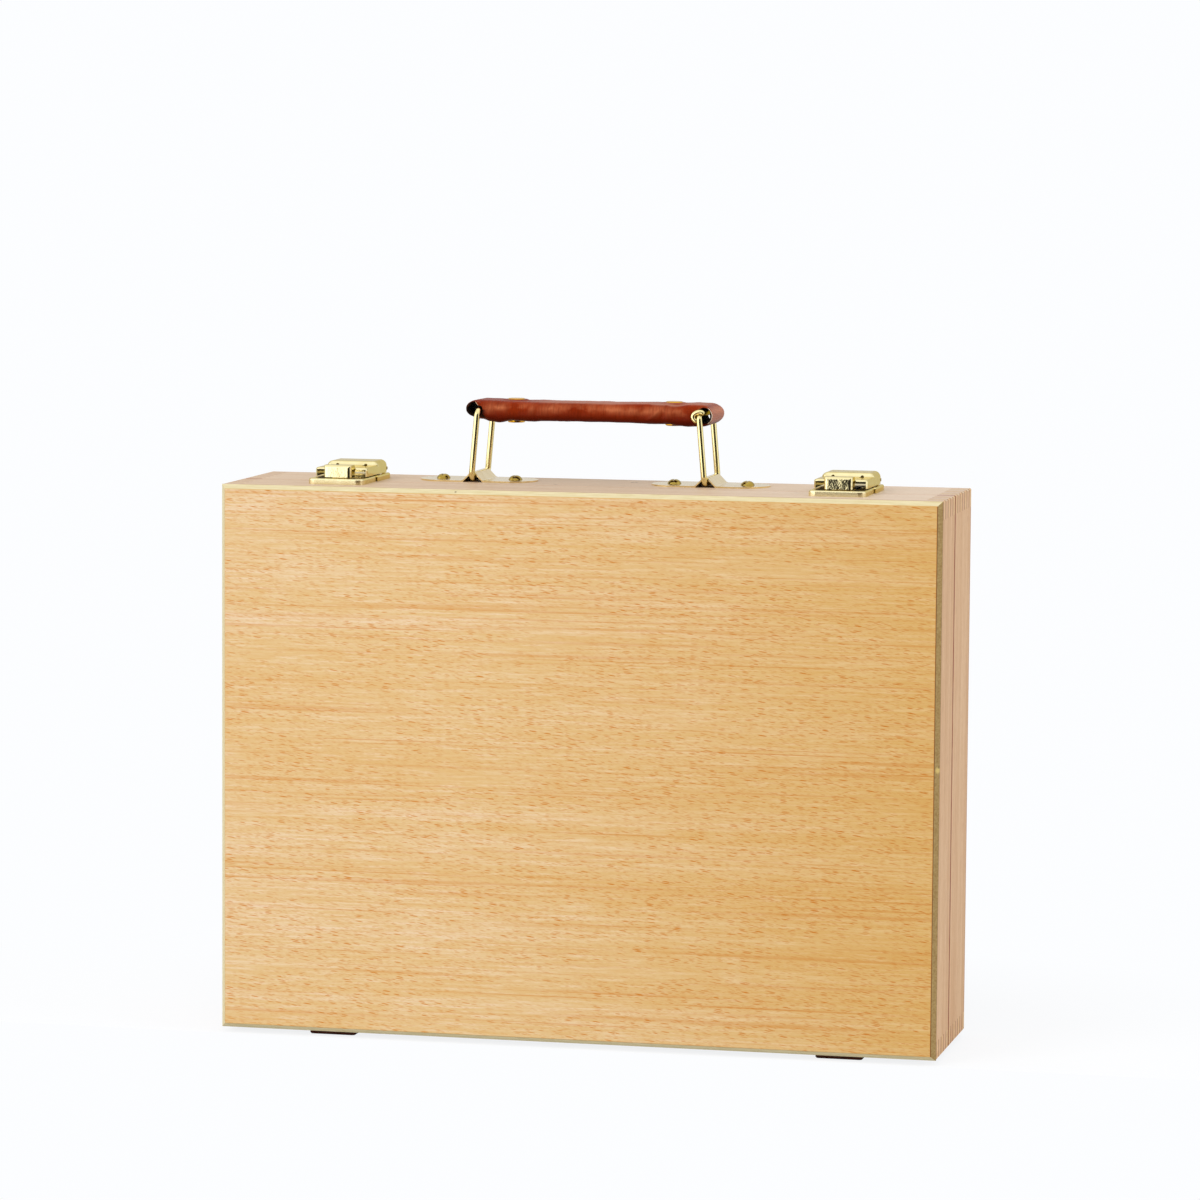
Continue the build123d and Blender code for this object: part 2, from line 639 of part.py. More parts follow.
# ---------------------------------------------------------------- latches
Z_PLATE = Z_HIGH + LATCH_PLATE
HASP_LOW = Z_PLATE + HASP_LIFT
HASP_PIN = (Y_PART + HASP_REAR - HASP_PIN_SETBACK, Z_HIGH + HASP_PIN_RISE)
CATCH_BAR = (Y_PART - LATCH_GAP - CATCH_LENGTH + CATCH_BAR_SETBACK, Z_HIGH + CATCH_BAR_RISE)


def latch_plate(middle, near, width, length, far_end):
    """Cast plate with round outer corners and a soft top edge."""
    with BuildSketch(level(Z_HIGH)) as outline:
        with Locations((middle, near + far_end * length / 2)):
            Rectangle(width, length)
        outer = outline.vertices().group_by(Axis.Y)[-1 if far_end > 0 else 0]
        fillet(outer, LATCH_PLATE_CORNER)
    extrude(outline.sketch, amount=LATCH_PLATE)


def catch(name, middle):
    """Plate on the lid, with a round bar that the hasp's tongue snaps over."""
    spots = [(x, LATCH_SCREW_Y["lid"], Z_PLATE) for x in pair(middle, LATCH_SCREW_PITCH)]
    straight = TONGUE_WIDTH - 2 * (HASP_SHEET + CATCH_BAR_PLAY + CATCH_BAR_RADIUS)
    with BuildPart() as plate:
        latch_plate(middle, Y_PART - LATCH_GAP, CATCH_WIDTH, CATCH_LENGTH, -1)
        fillet(plate.faces().sort_by(Axis.Z)[-1].edges(), LATCH_PLATE_ROUND)
        with BuildSketch(across(middle)):
            with Locations((CATCH_BAR[0], (Z_PLATE + CATCH_BAR[1]) / 2)):
                Rectangle(CATCH_BAR_RADIUS, CATCH_BAR[1] - Z_PLATE)
        extrude(amount=straight / 2, both=True)
        with BuildSketch(across(middle)):
            with Locations(CATCH_BAR):
                Circle(CATCH_BAR_RADIUS)
        extrude(amount=straight / 2, both=True)
        with Locations(*[(x, *CATCH_BAR) for x in pair(middle, straight)]):
            Sphere(CATCH_BAR_RADIUS)
        with Locations(*[Plane(origin=spot) for spot in spots]):
            add(COUNTERSUNK.part, mode=Mode.SUBTRACT)
    save(plate, f"latch_catch_{name}")
    return spots


def hasp_base(name, middle):
    """Plate on the base, with two ears for the hasp's pin."""
    spots = [(x, LATCH_SCREW_Y["base"], Z_PLATE) for x in pair(middle, LATCH_SCREW_PITCH)]
    ear_x = HASP_WIDTH / 2 - HASP_SHEET - HASP_EAR_INSET
    with BuildPart() as plate:
        latch_plate(middle, Y_PART + LATCH_GAP, LATCH_BASE_WIDTH, LATCH_BASE_LENGTH, 1)
        fillet(plate.faces().sort_by(Axis.Z)[-1].edges(), LATCH_PLATE_ROUND)
        for side in (-1, 1):
            with BuildSketch(across(middle + side * ear_x)):
                with Locations(HASP_PIN):
                    Circle(HASP_EAR_RADIUS)
                with Locations((HASP_PIN[0], (Z_HIGH + HASP_PIN[1]) / 2)):
                    Rectangle(2 * HASP_EAR_RADIUS, HASP_PIN[1] - Z_HIGH)
            extrude(amount=-side * HASP_EAR)
        with BuildSketch(across(middle)):
            with Locations(HASP_PIN):
                Circle(HASP_PIN_RADIUS)
        extrude(amount=HASP_WIDTH / 2, both=True, mode=Mode.SUBTRACT)
        with Locations(*[Plane(origin=spot) for spot in spots]):
            add(COUNTERSUNK.part, mode=Mode.SUBTRACT)
    save(plate, f"latch_base_{name}")
    with BuildPart() as pin:
        with BuildSketch(across(middle)):
            with Locations(HASP_PIN):
                Circle(HASP_PIN_RADIUS)
        extrude(amount=HASP_WIDTH / 2 + END_PLAY, both=True)
    save(pin, f"hasp_pin_{name}")
    return spots


def hasp_form(middle, inset):
    """Outside of the hasp's sheet, or with an inset its inside."""
    low = HASP_LOW - inset
    width = HASP_WIDTH - 2 * inset
    rear = Y_PART + HASP_REAR - inset
    front = Y_PART - HASP_REACH + inset
    hump = Y_PART + HUMP_FRONT + inset
    with BuildPart() as crown:
        with BuildSketch(level(low)):
            with Locations((middle, (hump + rear) / 2)):
                RectangleRounded(width, rear - hump, HASP_CORNER - inset)
        extrude(amount=Z_HIGH + HASP_TOP - inset - low)
        fillet(crown.faces().sort_by(Axis.Z)[-1].edges(), HASP_CROWN - inset)
    with BuildPart() as form:
        with BuildSketch(level(low)):
            with Locations((middle, (front + rear - HASP_CORNER) / 2)):
                RectangleRounded(width, rear - HASP_CORNER - front, HASP_SHOULDER_CORNER - inset)
        extrude(amount=Z_HIGH + HASP_SHOULDER - inset - low)
        fillet(form.faces().sort_by(Axis.Z)[-1].edges(), HASP_SHOULDER_ROUND - inset)
        add(crown.part)
    return form


TONGUE_END = Y_PART + TONGUE_ROOT
TONGUE_FACE = Y_PART - TONGUE_REACH
SHOULDER_FRONT = Y_PART - HASP_REACH
ROOF = Z_HIGH + HASP_SHOULDER


def tongue(middle):
    """Pressed tongue: it rises from the roof, turns down at its face and in at its cheeks."""
    top = Z_HIGH + TONGUE_TOP
    end = TONGUE_END + HASP_SHEET
    cheek = TONGUE_WIDTH / 2 - HASP_SHEET
    under = SHOULDER_FRONT + TONGUE_BEND * 0.8
    with BuildPart() as pressed:
        with BuildSketch(across(middle)) as outline:
            Polygon((end, ROOF), (SHOULDER_FRONT + TONGUE_BEND, ROOF), (SHOULDER_FRONT - HASP_SHEET, top),
                    (TONGUE_FACE, top), (TONGUE_FACE, HASP_LOW), (SHOULDER_FRONT, HASP_LOW),
                    (under, ROOF - HASP_SHEET), (end, ROOF - HASP_SHEET), align=None)
            fillet(outline.vertices().group_by(Axis.Y)[-1].sort_by(Axis.X)[0], TONGUE_BEND)
        extrude(amount=TONGUE_WIDTH / 2, both=True)
        with BuildSketch(level(HASP_LOW)):
            with Locations((middle, TONGUE_FACE)):
                RectangleRounded(TONGUE_WIDTH, end - TONGUE_FACE + TONGUE_CORNER, TONGUE_CORNER,
                                 align=(Align.CENTER, Align.MIN))
        extrude(amount=top - HASP_LOW, mode=Mode.INTERSECT)
        with BuildSketch(across(middle)):
            Polygon((TONGUE_FACE + HASP_SHEET, HASP_LOW), (TONGUE_FACE + HASP_SHEET, top - HASP_SHEET),
                    (SHOULDER_FRONT - HASP_SHEET * 0.6, top - HASP_SHEET), (under, ROOF - HASP_SHEET),
                    (under, HASP_LOW), align=None)
        extrude(amount=cheek, both=True, mode=Mode.SUBTRACT)
        with BuildSketch(across(middle)):
            Polygon((TONGUE_FACE + HASP_SHEET, HASP_LOW), (TONGUE_FACE + HASP_SHEET + TONGUE_LIP, HASP_LOW),
                    (TONGUE_FACE + HASP_SHEET, HASP_LOW + HASP_SHEET), align=None)
        extrude(amount=cheek, both=True)
    return pressed


def hasp(name, middle):
    """Domed sheet that turns on its pin, open in front beside its sprung tongue."""
    outside = hasp_form(middle, 0)
    inside = hasp_form(middle, HASP_SHEET)
    pressed = tongue(middle)
    slits = pair(middle, TONGUE_WIDTH + TONGUE_SLIT)
    with BuildPart() as web:
        add(outside.part)
        with BuildSketch(upright(HASP_PIN[0] - HASP_WEB)):
            with Locations((middle, Z_PLATE)):
                Rectangle(HASP_WIDTH, 2 * HASP_TOP)
        extrude(amount=HASP_SHEET, mode=Mode.INTERSECT)
    with BuildPart() as cover:
        add(outside.part)
        add(inside.part, mode=Mode.SUBTRACT)
        with BuildSketch(level(HASP_LOW - HASP_SHEET)):
            with Locations((middle, (TONGUE_END + TONGUE_FACE) / 2)):
                Rectangle(TONGUE_WIDTH + 2 * TONGUE_SLIT, TONGUE_END - TONGUE_FACE)
        extrude(amount=ROOF + TONGUE_SLIT - HASP_LOW, mode=Mode.SUBTRACT)
        with BuildSketch(upright(SHOULDER_FRONT + 2 * HASP_SHEET)):
            with Locations((middle, ROOF - HASP_SHEET)):
                Rectangle(HASP_WIDTH - 2 * HASP_SHEET, ROOF - HASP_LOW, align=(Align.CENTER, Align.MAX))
        extrude(amount=3 * HASP_SHEET, mode=Mode.SUBTRACT)
        add(pressed.part)
        add(web.part)
        drill(upright(TONGUE_END), [(x, ROOF) for x in slits], TONGUE_RELIEF, TONGUE_ROOT)
        with BuildSketch(across(middle)):
            with Locations(HASP_PIN):
                Rectangle(2 * HASP_PIN_SETBACK, 2 * HASP_PIN_SETBACK, align=(Align.MIN, Align.MAX))
                Circle(HASP_PIN_SETBACK, mode=Mode.SUBTRACT)
        extrude(amount=HASP_WIDTH, both=True, mode=Mode.SUBTRACT)
        with BuildSketch(upright(HASP_PIN[0] + HASP_PIN_SETBACK)):
            with Locations((middle, HASP_PIN[1])):
                Rectangle(HASP_WIDTH - 2 * HASP_SHEET, 2 * HASP_PIN_SETBACK)
        extrude(amount=HASP_PIN_SETBACK, mode=Mode.SUBTRACT)
        with BuildSketch(across(middle)):
            with Locations(HASP_PIN):
                Circle(HASP_PIN_RADIUS + RUNNING)
        extrude(amount=HASP_WIDTH, both=True, mode=Mode.SUBTRACT)
    save(cover, f"hasp_{name}")


def latches():
    spots = {"lid": [], "base": []}
    for (name, _), middle in zip(SIDES, LATCH_X):
        spots["lid"] += catch(name, middle)
        spots["base"] += hasp_base(name, middle)
        hasp(name, middle)
    for half, places in spots.items():
        place(SLOTTED_COUNTERSUNK, places, (0, 0, 1), f"latch_screws_{half}")


# ---------------------------------------------------------------- handle
BAIL_PIVOT_Z = Z_HIGH + BAIL_PIVOT_RISE
BAR_Z = BAIL_PIVOT_Z + BAIL_HEIGHT * cos(radians(BAIL_LEAN))
BAR_X = [x + lean * BAIL_HEIGHT * sin(radians(BAIL_LEAN)) for x, lean in zip(TUNNEL_X, (1, -1))]
GRIP_X = (BAR_X[0] + BAR_X[1]) / 2
RIVET_X = (BAR_X[0] + RIVET_INSET, BAR_X[1] - RIVET_INSET)


def handle_plate(name, middle):
    """Thin oval plate with a hump across it, the tunnel that the bail turns in."""
    half = HANDLE_PLATE_LENGTH / 2
    flat = HANDLE_PLATE_STRAIGHT / 2
    edge = HANDLE_PLATE_WIDTH / 2
    inner = TUNNEL_HEIGHT - HANDLE_SHEET
    slope = TUNNEL_HALF_WIDTH / TUNNEL_HEIGHT
    with BuildPart() as plate:
        with BuildSketch(upright(HANDLE_Y + edge)) as profile:
            with Locations((middle, Z_HIGH + HANDLE_SHEET / 2)):
                Rectangle(HANDLE_PLATE_LENGTH, HANDLE_SHEET)
            with Locations((middle, Z_HIGH)):
                Polygon((-TUNNEL_HALF_WIDTH, 0), (-slope, TUNNEL_HEIGHT), (slope, TUNNEL_HEIGHT),
                        (TUNNEL_HALF_WIDTH, 0), align=None)
                Polygon((-slope * inner, 0), (-slope * 0.75, inner), (slope * 0.75, inner),
                        (slope * inner, 0), align=None, mode=Mode.SUBTRACT)
            fillet(profile.vertices().group_by(Axis.Y)[-1], slope)
            fillet(profile.vertices().group_by(Axis.Y)[1].sort_by(Axis.X)[1:-1], HUMP_FOOT)
        extrude(amount=HANDLE_PLATE_WIDTH)
        with BuildSketch(level(Z_HIGH)):
            with BuildLine():
                front = Line((middle - flat, HANDLE_Y - edge), (middle + flat, HANDLE_Y - edge))
                back = Line((middle + flat, HANDLE_Y + edge), (middle - flat, HANDLE_Y + edge))
                ThreePointArc(front @ 1, (middle + half, HANDLE_Y), back @ 0)
                ThreePointArc(back @ 1, (middle - half, HANDLE_Y), front @ 0)
            make_face()
        extrude(amount=TUNNEL_HEIGHT, mode=Mode.INTERSECT)
        with Locations(*[(x, HANDLE_Y, Z_HIGH) for x in pair(middle, HANDLE_SCREW_PITCH)]):
            Hole(SCREW_RADIUS)
    save(plate, f"handle_plate_{name}")


def bail(name, middle, lean):
    """Rectangular wire loop that stands up from its tunnel and leans a little inwards."""
    tilt = radians(BAIL_LEAN) * lean
    frame = Plane(origin=(middle, HANDLE_Y, BAIL_PIVOT_Z), x_dir=(0, 1, 0),
                  z_dir=(cos(tilt), 0, -sin(tilt)))
    half = BAIL_SPAN / 2
    with BuildPart() as loop:
        with BuildLine(frame) as route:
            FilletPolyline((-half, 0), (half, 0), (half, BAIL_HEIGHT), (-half, BAIL_HEIGHT),
                           radius=BAIL_CORNER, close=True)
        with BuildSketch(Plane(origin=route.wire() @ 0, z_dir=route.wire() % 0)):
            Circle(WIRE_RADIUS)
        sweep(path=route.wire())
        if name == "right":
            with BuildLine(upright(HANDLE_Y - half)) as hook:
                Spline(*[(BAR_X[1] + dx, BAR_Z + dz) for dx, dz in TAIL_ROUTE])
            with BuildSketch(Plane(origin=hook.wire() @ 0, z_dir=hook.wire() % 0)):
                Circle(TAIL_RADIUS)
            sweep(path=hook.wire())
            with Locations(hook.wire() @ 0, hook.wire() @ 1):
                Sphere(TAIL_RADIUS)
    save(loop, f"bail_{name}")


def grip():
    """Leather grip whose ends loop round the bails, with a rivet beside each loop."""
    length = BAR_X[1] - BAR_X[0] + 2 * GRIP_OVERHANG
    reach = GRIP_THICKNESS / 2
    seat = reach - RIVET_SINK
    with BuildPart() as leather:
        with BuildSketch(upright(HANDLE_Y + GRIP_WIDTH / 2)):
            with Locations((GRIP_X, BAR_Z)):
                SlotOverall(length, GRIP_THICKNESS)
        extrude(amount=GRIP_WIDTH)
        with BuildSketch(across(GRIP_X)):
            with Locations((HANDLE_Y, BAR_Z)):
                RectangleRounded(GRIP_WIDTH, GRIP_THICKNESS, GRIP_ROUND)
        extrude(amount=length / 2, both=True, mode=Mode.INTERSECT)
        with BuildSketch(upright(HANDLE_Y + GRIP_WIDTH / 2)):
            with Locations(*[(x, BAR_Z) for x in (BAR_X[0] - GRIP_TUNNEL_OUT, BAR_X[1] + GRIP_TUNNEL_OUT)]):
                Circle(GRIP_TUNNEL_RADIUS)
        extrude(amount=GRIP_WIDTH, mode=Mode.SUBTRACT)
        with Locations(*[(x, HANDLE_Y, BAR_Z + reach) for x in RIVET_X]):
            CounterBoreHole(RIVET_RADIUS + LEATHER_PLAY, RIVET_HEAD_RADIUS + LEATHER_PLAY, RIVET_SINK)
    save(leather, "grip")
    with BuildPart() as rivets:
        for x in RIVET_X:
            for start, height, radius in (
                (-reach - RIVET_FOOT, RIVET_FOOT, RIVET_HEAD_RADIUS),
                (-reach, reach + seat, RIVET_RADIUS),
                (seat, RIVET_HEAD, RIVET_HEAD_RADIUS),
            ):
                with BuildSketch(level(BAR_Z + start)):
                    with Locations((x, HANDLE_Y)):
                        Circle(radius)
                extrude(amount=height)
        for end in (0, -1):
            chamfer(rivets.edges().group_by(Axis.Z)[end], RIVET_HEAD * 0.6)
    save(rivets, "grip_rivets")


def handle():
    for (name, _), middle, lean in zip(SIDES, TUNNEL_X, (1, -1)):
        handle_plate(name, middle)
        bail(name, middle, lean)
    seats = [(x, HANDLE_Y, Z_HIGH + HANDLE_SHEET) for x in HANDLE_SCREW_X]
    place(slotted(dome_screw(), DOME_HEAD_HEIGHT, DOME_SLOT), seats, (0, 0, 1), "handle_screws")
    grip()


os.makedirs("parts", exist_ok=True)
case_half("lid", Y_LID_PLY, LID_FINGERS)
case_half("base", Y_BACK, BASE_FINGERS)
lid_panel()
base_panel()
feet()
for case_part in ("lid", "base"):
    hinge_leaves(case_part)
hinge_pins()
dividers()
ledges()
palette()
panel_strips()
turn_buttons()
stays()
latches()
handle()
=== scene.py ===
import math

import bmesh
import bpy
from mathutils import Matrix, Vector, noise

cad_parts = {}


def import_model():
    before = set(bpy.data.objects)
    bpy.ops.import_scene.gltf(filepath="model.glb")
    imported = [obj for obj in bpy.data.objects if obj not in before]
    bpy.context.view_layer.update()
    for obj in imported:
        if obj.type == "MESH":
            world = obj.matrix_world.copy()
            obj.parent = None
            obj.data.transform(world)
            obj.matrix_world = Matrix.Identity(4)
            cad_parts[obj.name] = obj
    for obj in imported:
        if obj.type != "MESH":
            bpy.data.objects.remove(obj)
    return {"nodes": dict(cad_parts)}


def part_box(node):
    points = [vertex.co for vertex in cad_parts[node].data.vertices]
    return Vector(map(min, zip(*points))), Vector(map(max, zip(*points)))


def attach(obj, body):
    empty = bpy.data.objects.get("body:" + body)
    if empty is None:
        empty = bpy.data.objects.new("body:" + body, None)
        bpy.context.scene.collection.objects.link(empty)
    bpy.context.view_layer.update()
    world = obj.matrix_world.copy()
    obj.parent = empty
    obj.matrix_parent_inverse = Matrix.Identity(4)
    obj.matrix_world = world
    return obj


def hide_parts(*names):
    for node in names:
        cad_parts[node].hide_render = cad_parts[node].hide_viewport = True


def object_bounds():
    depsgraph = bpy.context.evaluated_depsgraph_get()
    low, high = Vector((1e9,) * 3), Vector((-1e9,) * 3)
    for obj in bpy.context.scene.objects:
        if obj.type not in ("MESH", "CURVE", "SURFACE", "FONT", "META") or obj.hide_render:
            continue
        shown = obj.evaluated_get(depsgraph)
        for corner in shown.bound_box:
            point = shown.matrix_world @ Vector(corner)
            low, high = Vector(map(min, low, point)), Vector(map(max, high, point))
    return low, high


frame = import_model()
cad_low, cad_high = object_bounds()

MM = 0.001
X, Y, Z = 0, 1, 2
NODES = frame["nodes"]


def lin(*levels):
    """Linear colour from the red, green and blue of an 8-bit sRGB one."""
    return tuple(((c / 255 + 0.055) / 1.055) ** 2.4 if c > 10 else c / 255 / 12.92 for c in levels) + (1.0,)


# ---------------------------------------------------------------- node graphs
class Graph:
    """The nodes of a new material, or of another thing that has them, and short ways to add to them."""

    def __init__(self, name, kind="materials", output="ShaderNodeOutputMaterial"):
        self.owner = getattr(bpy.data, kind).new(name)
        self.owner.use_nodes = True
        self.tree = self.owner.node_tree
        self.tree.nodes.clear()
        self.out = self.add(output)
        self.coord = self.add("ShaderNodeTexCoord")

    def add(self, kind, inputs=None, **props):
        node = self.tree.nodes.new(kind)
        for key, value in props.items():
            setattr(node, key, value)
        for key, value in (inputs or {}).items():
            self.put(node.inputs[key], value)
        return node

    def put(self, socket, value):
        if isinstance(value, bpy.types.NodeSocket):
            self.tree.links.new(value, socket)
        else:
            socket.default_value = value

    def math(self, op, *values):
        node = self.add("ShaderNodeMath", operation=op)
        for socket, value in zip(node.inputs, values):
            self.put(socket, value)
        return node.outputs[0]

    def times(self, a, b):
        return self.math("MULTIPLY", a, b)

    def away(self, value, place):
        """How far a value is from a place, on either side of it."""
        return self.math("ABSOLUTE", self.math("SUBTRACT", value, place))

    def scaled(self, scale, offset=(0, 0, 0)):
        """The point of the object, scaled and shifted: the vector that a texture reads."""
        node = self.add("ShaderNodeMapping", {"Vector": self.coord.outputs["Object"], "Scale": scale,
                                              "Location": offset})
        return node.outputs[0]

    def noise(self, vector, detail=2.0, rough=0.5, distort=0.0):
        node = self.add("ShaderNodeTexNoise", {"Vector": vector, "Scale": 1.0, "Detail": detail,
                                               "Roughness": rough, "Distortion": distort})
        return node.outputs["Fac"]

    def pebbles(self, vector):
        """The distance to the edge of a cell."""
        node = self.add("ShaderNodeTexVoronoi", {"Vector": vector, "Scale": 1.0}, feature="DISTANCE_TO_EDGE")
        return node.outputs["Distance"]

    def dashes(self, along, across, length, width):
        """Flat cells, longer along the grain: the distance to a cell's middle, and two numbers of its own."""
        place = self.add("ShaderNodeCombineXYZ", {"X": self.math("DIVIDE", along, length * MM),
                                                  "Y": self.math("DIVIDE", across, width * MM)}).outputs[0]
        cell = self.add("ShaderNodeTexVoronoi", {"Vector": place, "Scale": 1.0}, voronoi_dimensions="2D")
        own = self.add("ShaderNodeSeparateXYZ", {"Vector": cell.outputs["Color"]}).outputs
        return cell.outputs["Distance"], own[0], own[1]

    def span(self, value, low, high, to_low=0.0, to_high=1.0):
        """A value between low and high, mapped to another span and held at its ends."""
        node = self.add("ShaderNodeMapRange", {"Value": value, "From Min": low, "From Max": high,
                                               "To Min": to_low, "To Max": to_high})
        return node.outputs[0]

    def ramp(self, value, *stops):
        node = self.add("ShaderNodeValToRGB", {"Fac": value})
        band = node.color_ramp
        while len(band.elements) < len(stops):
            band.elements.new(0.5)
        for element, (place, colour) in zip(band.elements, stops):
            element.position = place
            element.color = colour
        return node.outputs[0]

    def mix(self, factor, a, b, blend="MIX"):
        node = self.add("ShaderNodeMix", data_type="RGBA", blend_type=blend)
        self.put(node.inputs[0], factor)
        self.put(node.inputs[6], a)
        self.put(node.inputs[7], b)
        return node.outputs[2]

    def axes(self, which="Object"):
        return self.add("ShaderNodeSeparateXYZ", {"Vector": self.coord.outputs[which]}).outputs

    def bump(self, height, strength, distance):
        node = self.add("ShaderNodeBump", {"Height": height, "Strength": strength, "Distance": distance})
        return node.outputs[0]

    def shade(self, shader):
        """Ends the graph with a shader's node and gives its owner."""
        self.put(self.out.inputs["Surface"], shader.outputs[0])
        return self.owner

    def surface(self, **sockets):
        named = {key.replace("_", " "): value for key, value in sockets.items()}
        return self.shade(self.add("ShaderNodeBsdfPrincipled", named))


def shift(seed):
    """A fixed offset into the noise, so that no two boards share their grain."""
    return tuple(round(17.3 * math.sin(seed * k + k), 3) for k in (1.7, 2.9, 4.3))


# ---------------------------------------------------------------- wood
FACE = dict(light=lin(228, 203, 172), mid=lin(218, 187, 138), dark=lin(212, 171, 108), pore=lin(198, 120, 18))
RAIL = dict(light=lin(221, 198, 172), mid=lin(214, 188, 158), dark=lin(202, 171, 139), pore=lin(170, 122, 84))
SIDE = dict(light=lin(226, 191, 150), mid=lin(218, 178, 134), dark=lin(203, 156, 110), pore=lin(168, 106, 64))
# the seams' dark colour: dirty glue, and painted shade in the gaps of the joints
GLUE_AND_GAP_SHADE = lin(140, 62, 26)
# of each kind of pore: length and width of its cell in millimetres, share of cells without one, and darkness
PORES = ((7.4, 0.9, 0.45, 1.0), (5.6, 0.7, 0.3, 0.7), (4.0, 0.5, 0.3, 0.5))
GRAIN_SLANT = 0.12          # how far the pores lean across the board, as a share of the way along it
BOARD_LOOK = dict(pores=0.4, bands=1.3)
WOOD_SURFACE = dict(Roughness=0.5, Specular_IOR_Level=0.3)


def grain(g, axis, tones, seed, pores=1.0, bands=1.0):
    """Colour and relief of flat-sawn beech whose grain runs along one axis."""
    def stretch(along, across):
        return tuple(along if k == axis else across for k in range(3))

    place = shift(seed)
    here = g.axes()
    along = here[axis]
    across = g.math("ADD", *[here[k] for k in range(3) if k != axis])
    wander = g.noise(g.scaled(stretch(4, 22), place), detail=3)
    rings = g.noise(g.scaled(stretch(1.2, 120), place), detail=5, rough=0.72, distort=0.2)
    tone = g.math("ADD", g.times(wander, 0.35), g.times(rings, 0.65))
    half = 0.2 / bands
    colour = g.ramp(tone, (0.5 - half, tones["light"]), (0.5, tones["mid"]), (0.5 + half, tones["dark"]))
    fibre = g.noise(g.scaled(stretch(45, 900), place), detail=4, rough=0.75)
    colour = g.mix(g.span(fibre, 0.42, 0.68, 0.0, 0.8), colour, tones["dark"])
    colour = g.mix(g.span(fibre, 0.46, 0.28, 0.0, 0.7), colour, tones["light"])
    for width, low, strength in ((420, 0.6, 0.3), (1000, 0.64, 0.5)):
        line = g.noise(g.scaled(stretch(4.5, width), shift(seed + width)), detail=1)
        colour = g.mix(g.span(line, low, low + 0.12, 0.0, strength * pores), colour, tones["pore"])
    crowd = g.span(g.noise(g.scaled(stretch(10, 60), place)), 0.3, 0.5, 0.3, 1.0)
    leaning = g.math("ADD", across, g.times(along, GRAIN_SLANT))
    sunk = None
    for length, width, bare, depth in PORES:
        gap, size, weight = g.dashes(g.math("ADD", along, seed * 0.37), leaning, length, width)
        reach = g.span(size, 0.0, 1.0, 0.14, 0.36)
        inside = g.span(g.math("SUBTRACT", reach, gap), -0.04, 0.1)
        inside = g.times(g.times(inside, g.span(weight, bare, 1.0)), crowd)
        colour = g.mix(g.times(inside, depth * pores), colour, tones["pore"])
        sunk = inside if sunk is None else g.math("MAXIMUM", sunk, inside)
    relief = g.math("SUBTRACT", g.times(fibre, 0.5), g.times(sunk, 0.7))
    return colour, relief


def end_grain(g, tones, seed):
    """Colour of a sawn end, with fine rays and pores."""
    rings = g.noise(g.scaled((260, 120, 260), shift(seed + 5)), detail=3, distort=0.6)
    dots = g.noise(g.scaled((2300, 2300, 2300), shift(seed)), detail=2)
    colour = g.ramp(rings, (0.35, tones["light"]), (0.6, tones["mid"]))
    colour = g.mix(1.0, colour, (0.97, 0.96, 0.84, 1), "MULTIPLY")
    return g.mix(g.span(dots, 0.5, 0.75, 0.0, 0.35), colour, tones["dark"])


def nearness(g, value, places, width):
    """One where a coordinate is at one of these places, in millimetres, falling to nothing within a width."""
    best = None
    for place in places:
        near = g.span(g.away(value, place * MM), width * MM, width * MM * 0.45)
        best = near if best is None else g.math("MAXIMUM", best, near)
    return best


def spot(g, place, size):
    """Nearly one at a place, in millimetres, falling to nothing at a distance."""
    middle = tuple(c * MM for c in place)
    gap = g.add("ShaderNodeVectorMath", {0: g.coord.outputs["Object"], 1: middle}, operation="DISTANCE")
    return g.span(gap.outputs["Value"], size * MM, size * MM * 0.4, 0.0, 0.9)


def specked(g, colour, specks):
    """A colour with small marks: of each, its place, its size and its own colour."""
    for place, size, ink in specks:
        colour = g.mix(spot(g, place, size), colour, ink)
    return colour


def wood(name, axis, tones, seed, sawn=None, seams=(), specks=(), pale=0.0, pores=1.0, bands=1.0):
    """Solid beech, sawn across at its ends. A seam is a dark line along some depths of the box: dirty glue,
    and painted shade in the joint's gap. It has its depths, width, darkness and, where it shows at the
    board's ends only, each end's start and way."""
    g = Graph(name)
    colour, height = grain(g, axis, tones, seed, pores, bands)
    facing = g.math("ABSOLUTE", g.axes("Normal")[axis])
    rims_clean = g.span(g.math("ABSOLUTE", g.axes("Normal")[Y]), 0.9, 0.7)
    if pale:
        colour = g.mix(g.span(g.axes()[X], 0.02, 0.17, 0.0, pale), colour, lin(228, 212, 196))
    colour = g.mix(g.span(facing, 0.6, 0.7), colour, end_grain(g, sawn or tones, seed))
    # painted shade of the joints' gaps, with dirty glue: a dark line along each seam
    for places, width, depth, ends in seams:
        dirt_and_shade = g.noise(g.scaled((70, 70, 70), shift(seed + 3)), detail=2)
        close = g.times(nearness(g, g.axes()[Y], places, width), g.span(dirt_and_shade, 0.3, 0.6, depth * 0.75, depth))
        close = g.times(close, rims_clean)
        if ends:
            past = [g.span(g.axes()[axis], end * MM, (end + way) * MM) for end, way in ends]
            close = g.times(close, g.math("MAXIMUM", *past))
        colour = g.mix(close, colour, GLUE_AND_GAP_SHADE)
    colour = specked(g, colour, specks)
    return g.surface(Base_Color=colour, Normal=g.bump(height, 0.35, 0.05 * MM), **WOOD_SURFACE)


# where the face meets its bevel, at the right side and at both ends: places and width in millimetres
BEVEL_SIDE, BEVEL_ENDS = ((196.7,), 0.7), ((5.3, 300.7), 0.35)
# where the ply's front veneer ends and its back one starts, in millimetres from its face
FRONT_VENEER, BACK_VENEER = 0.4, 3.4


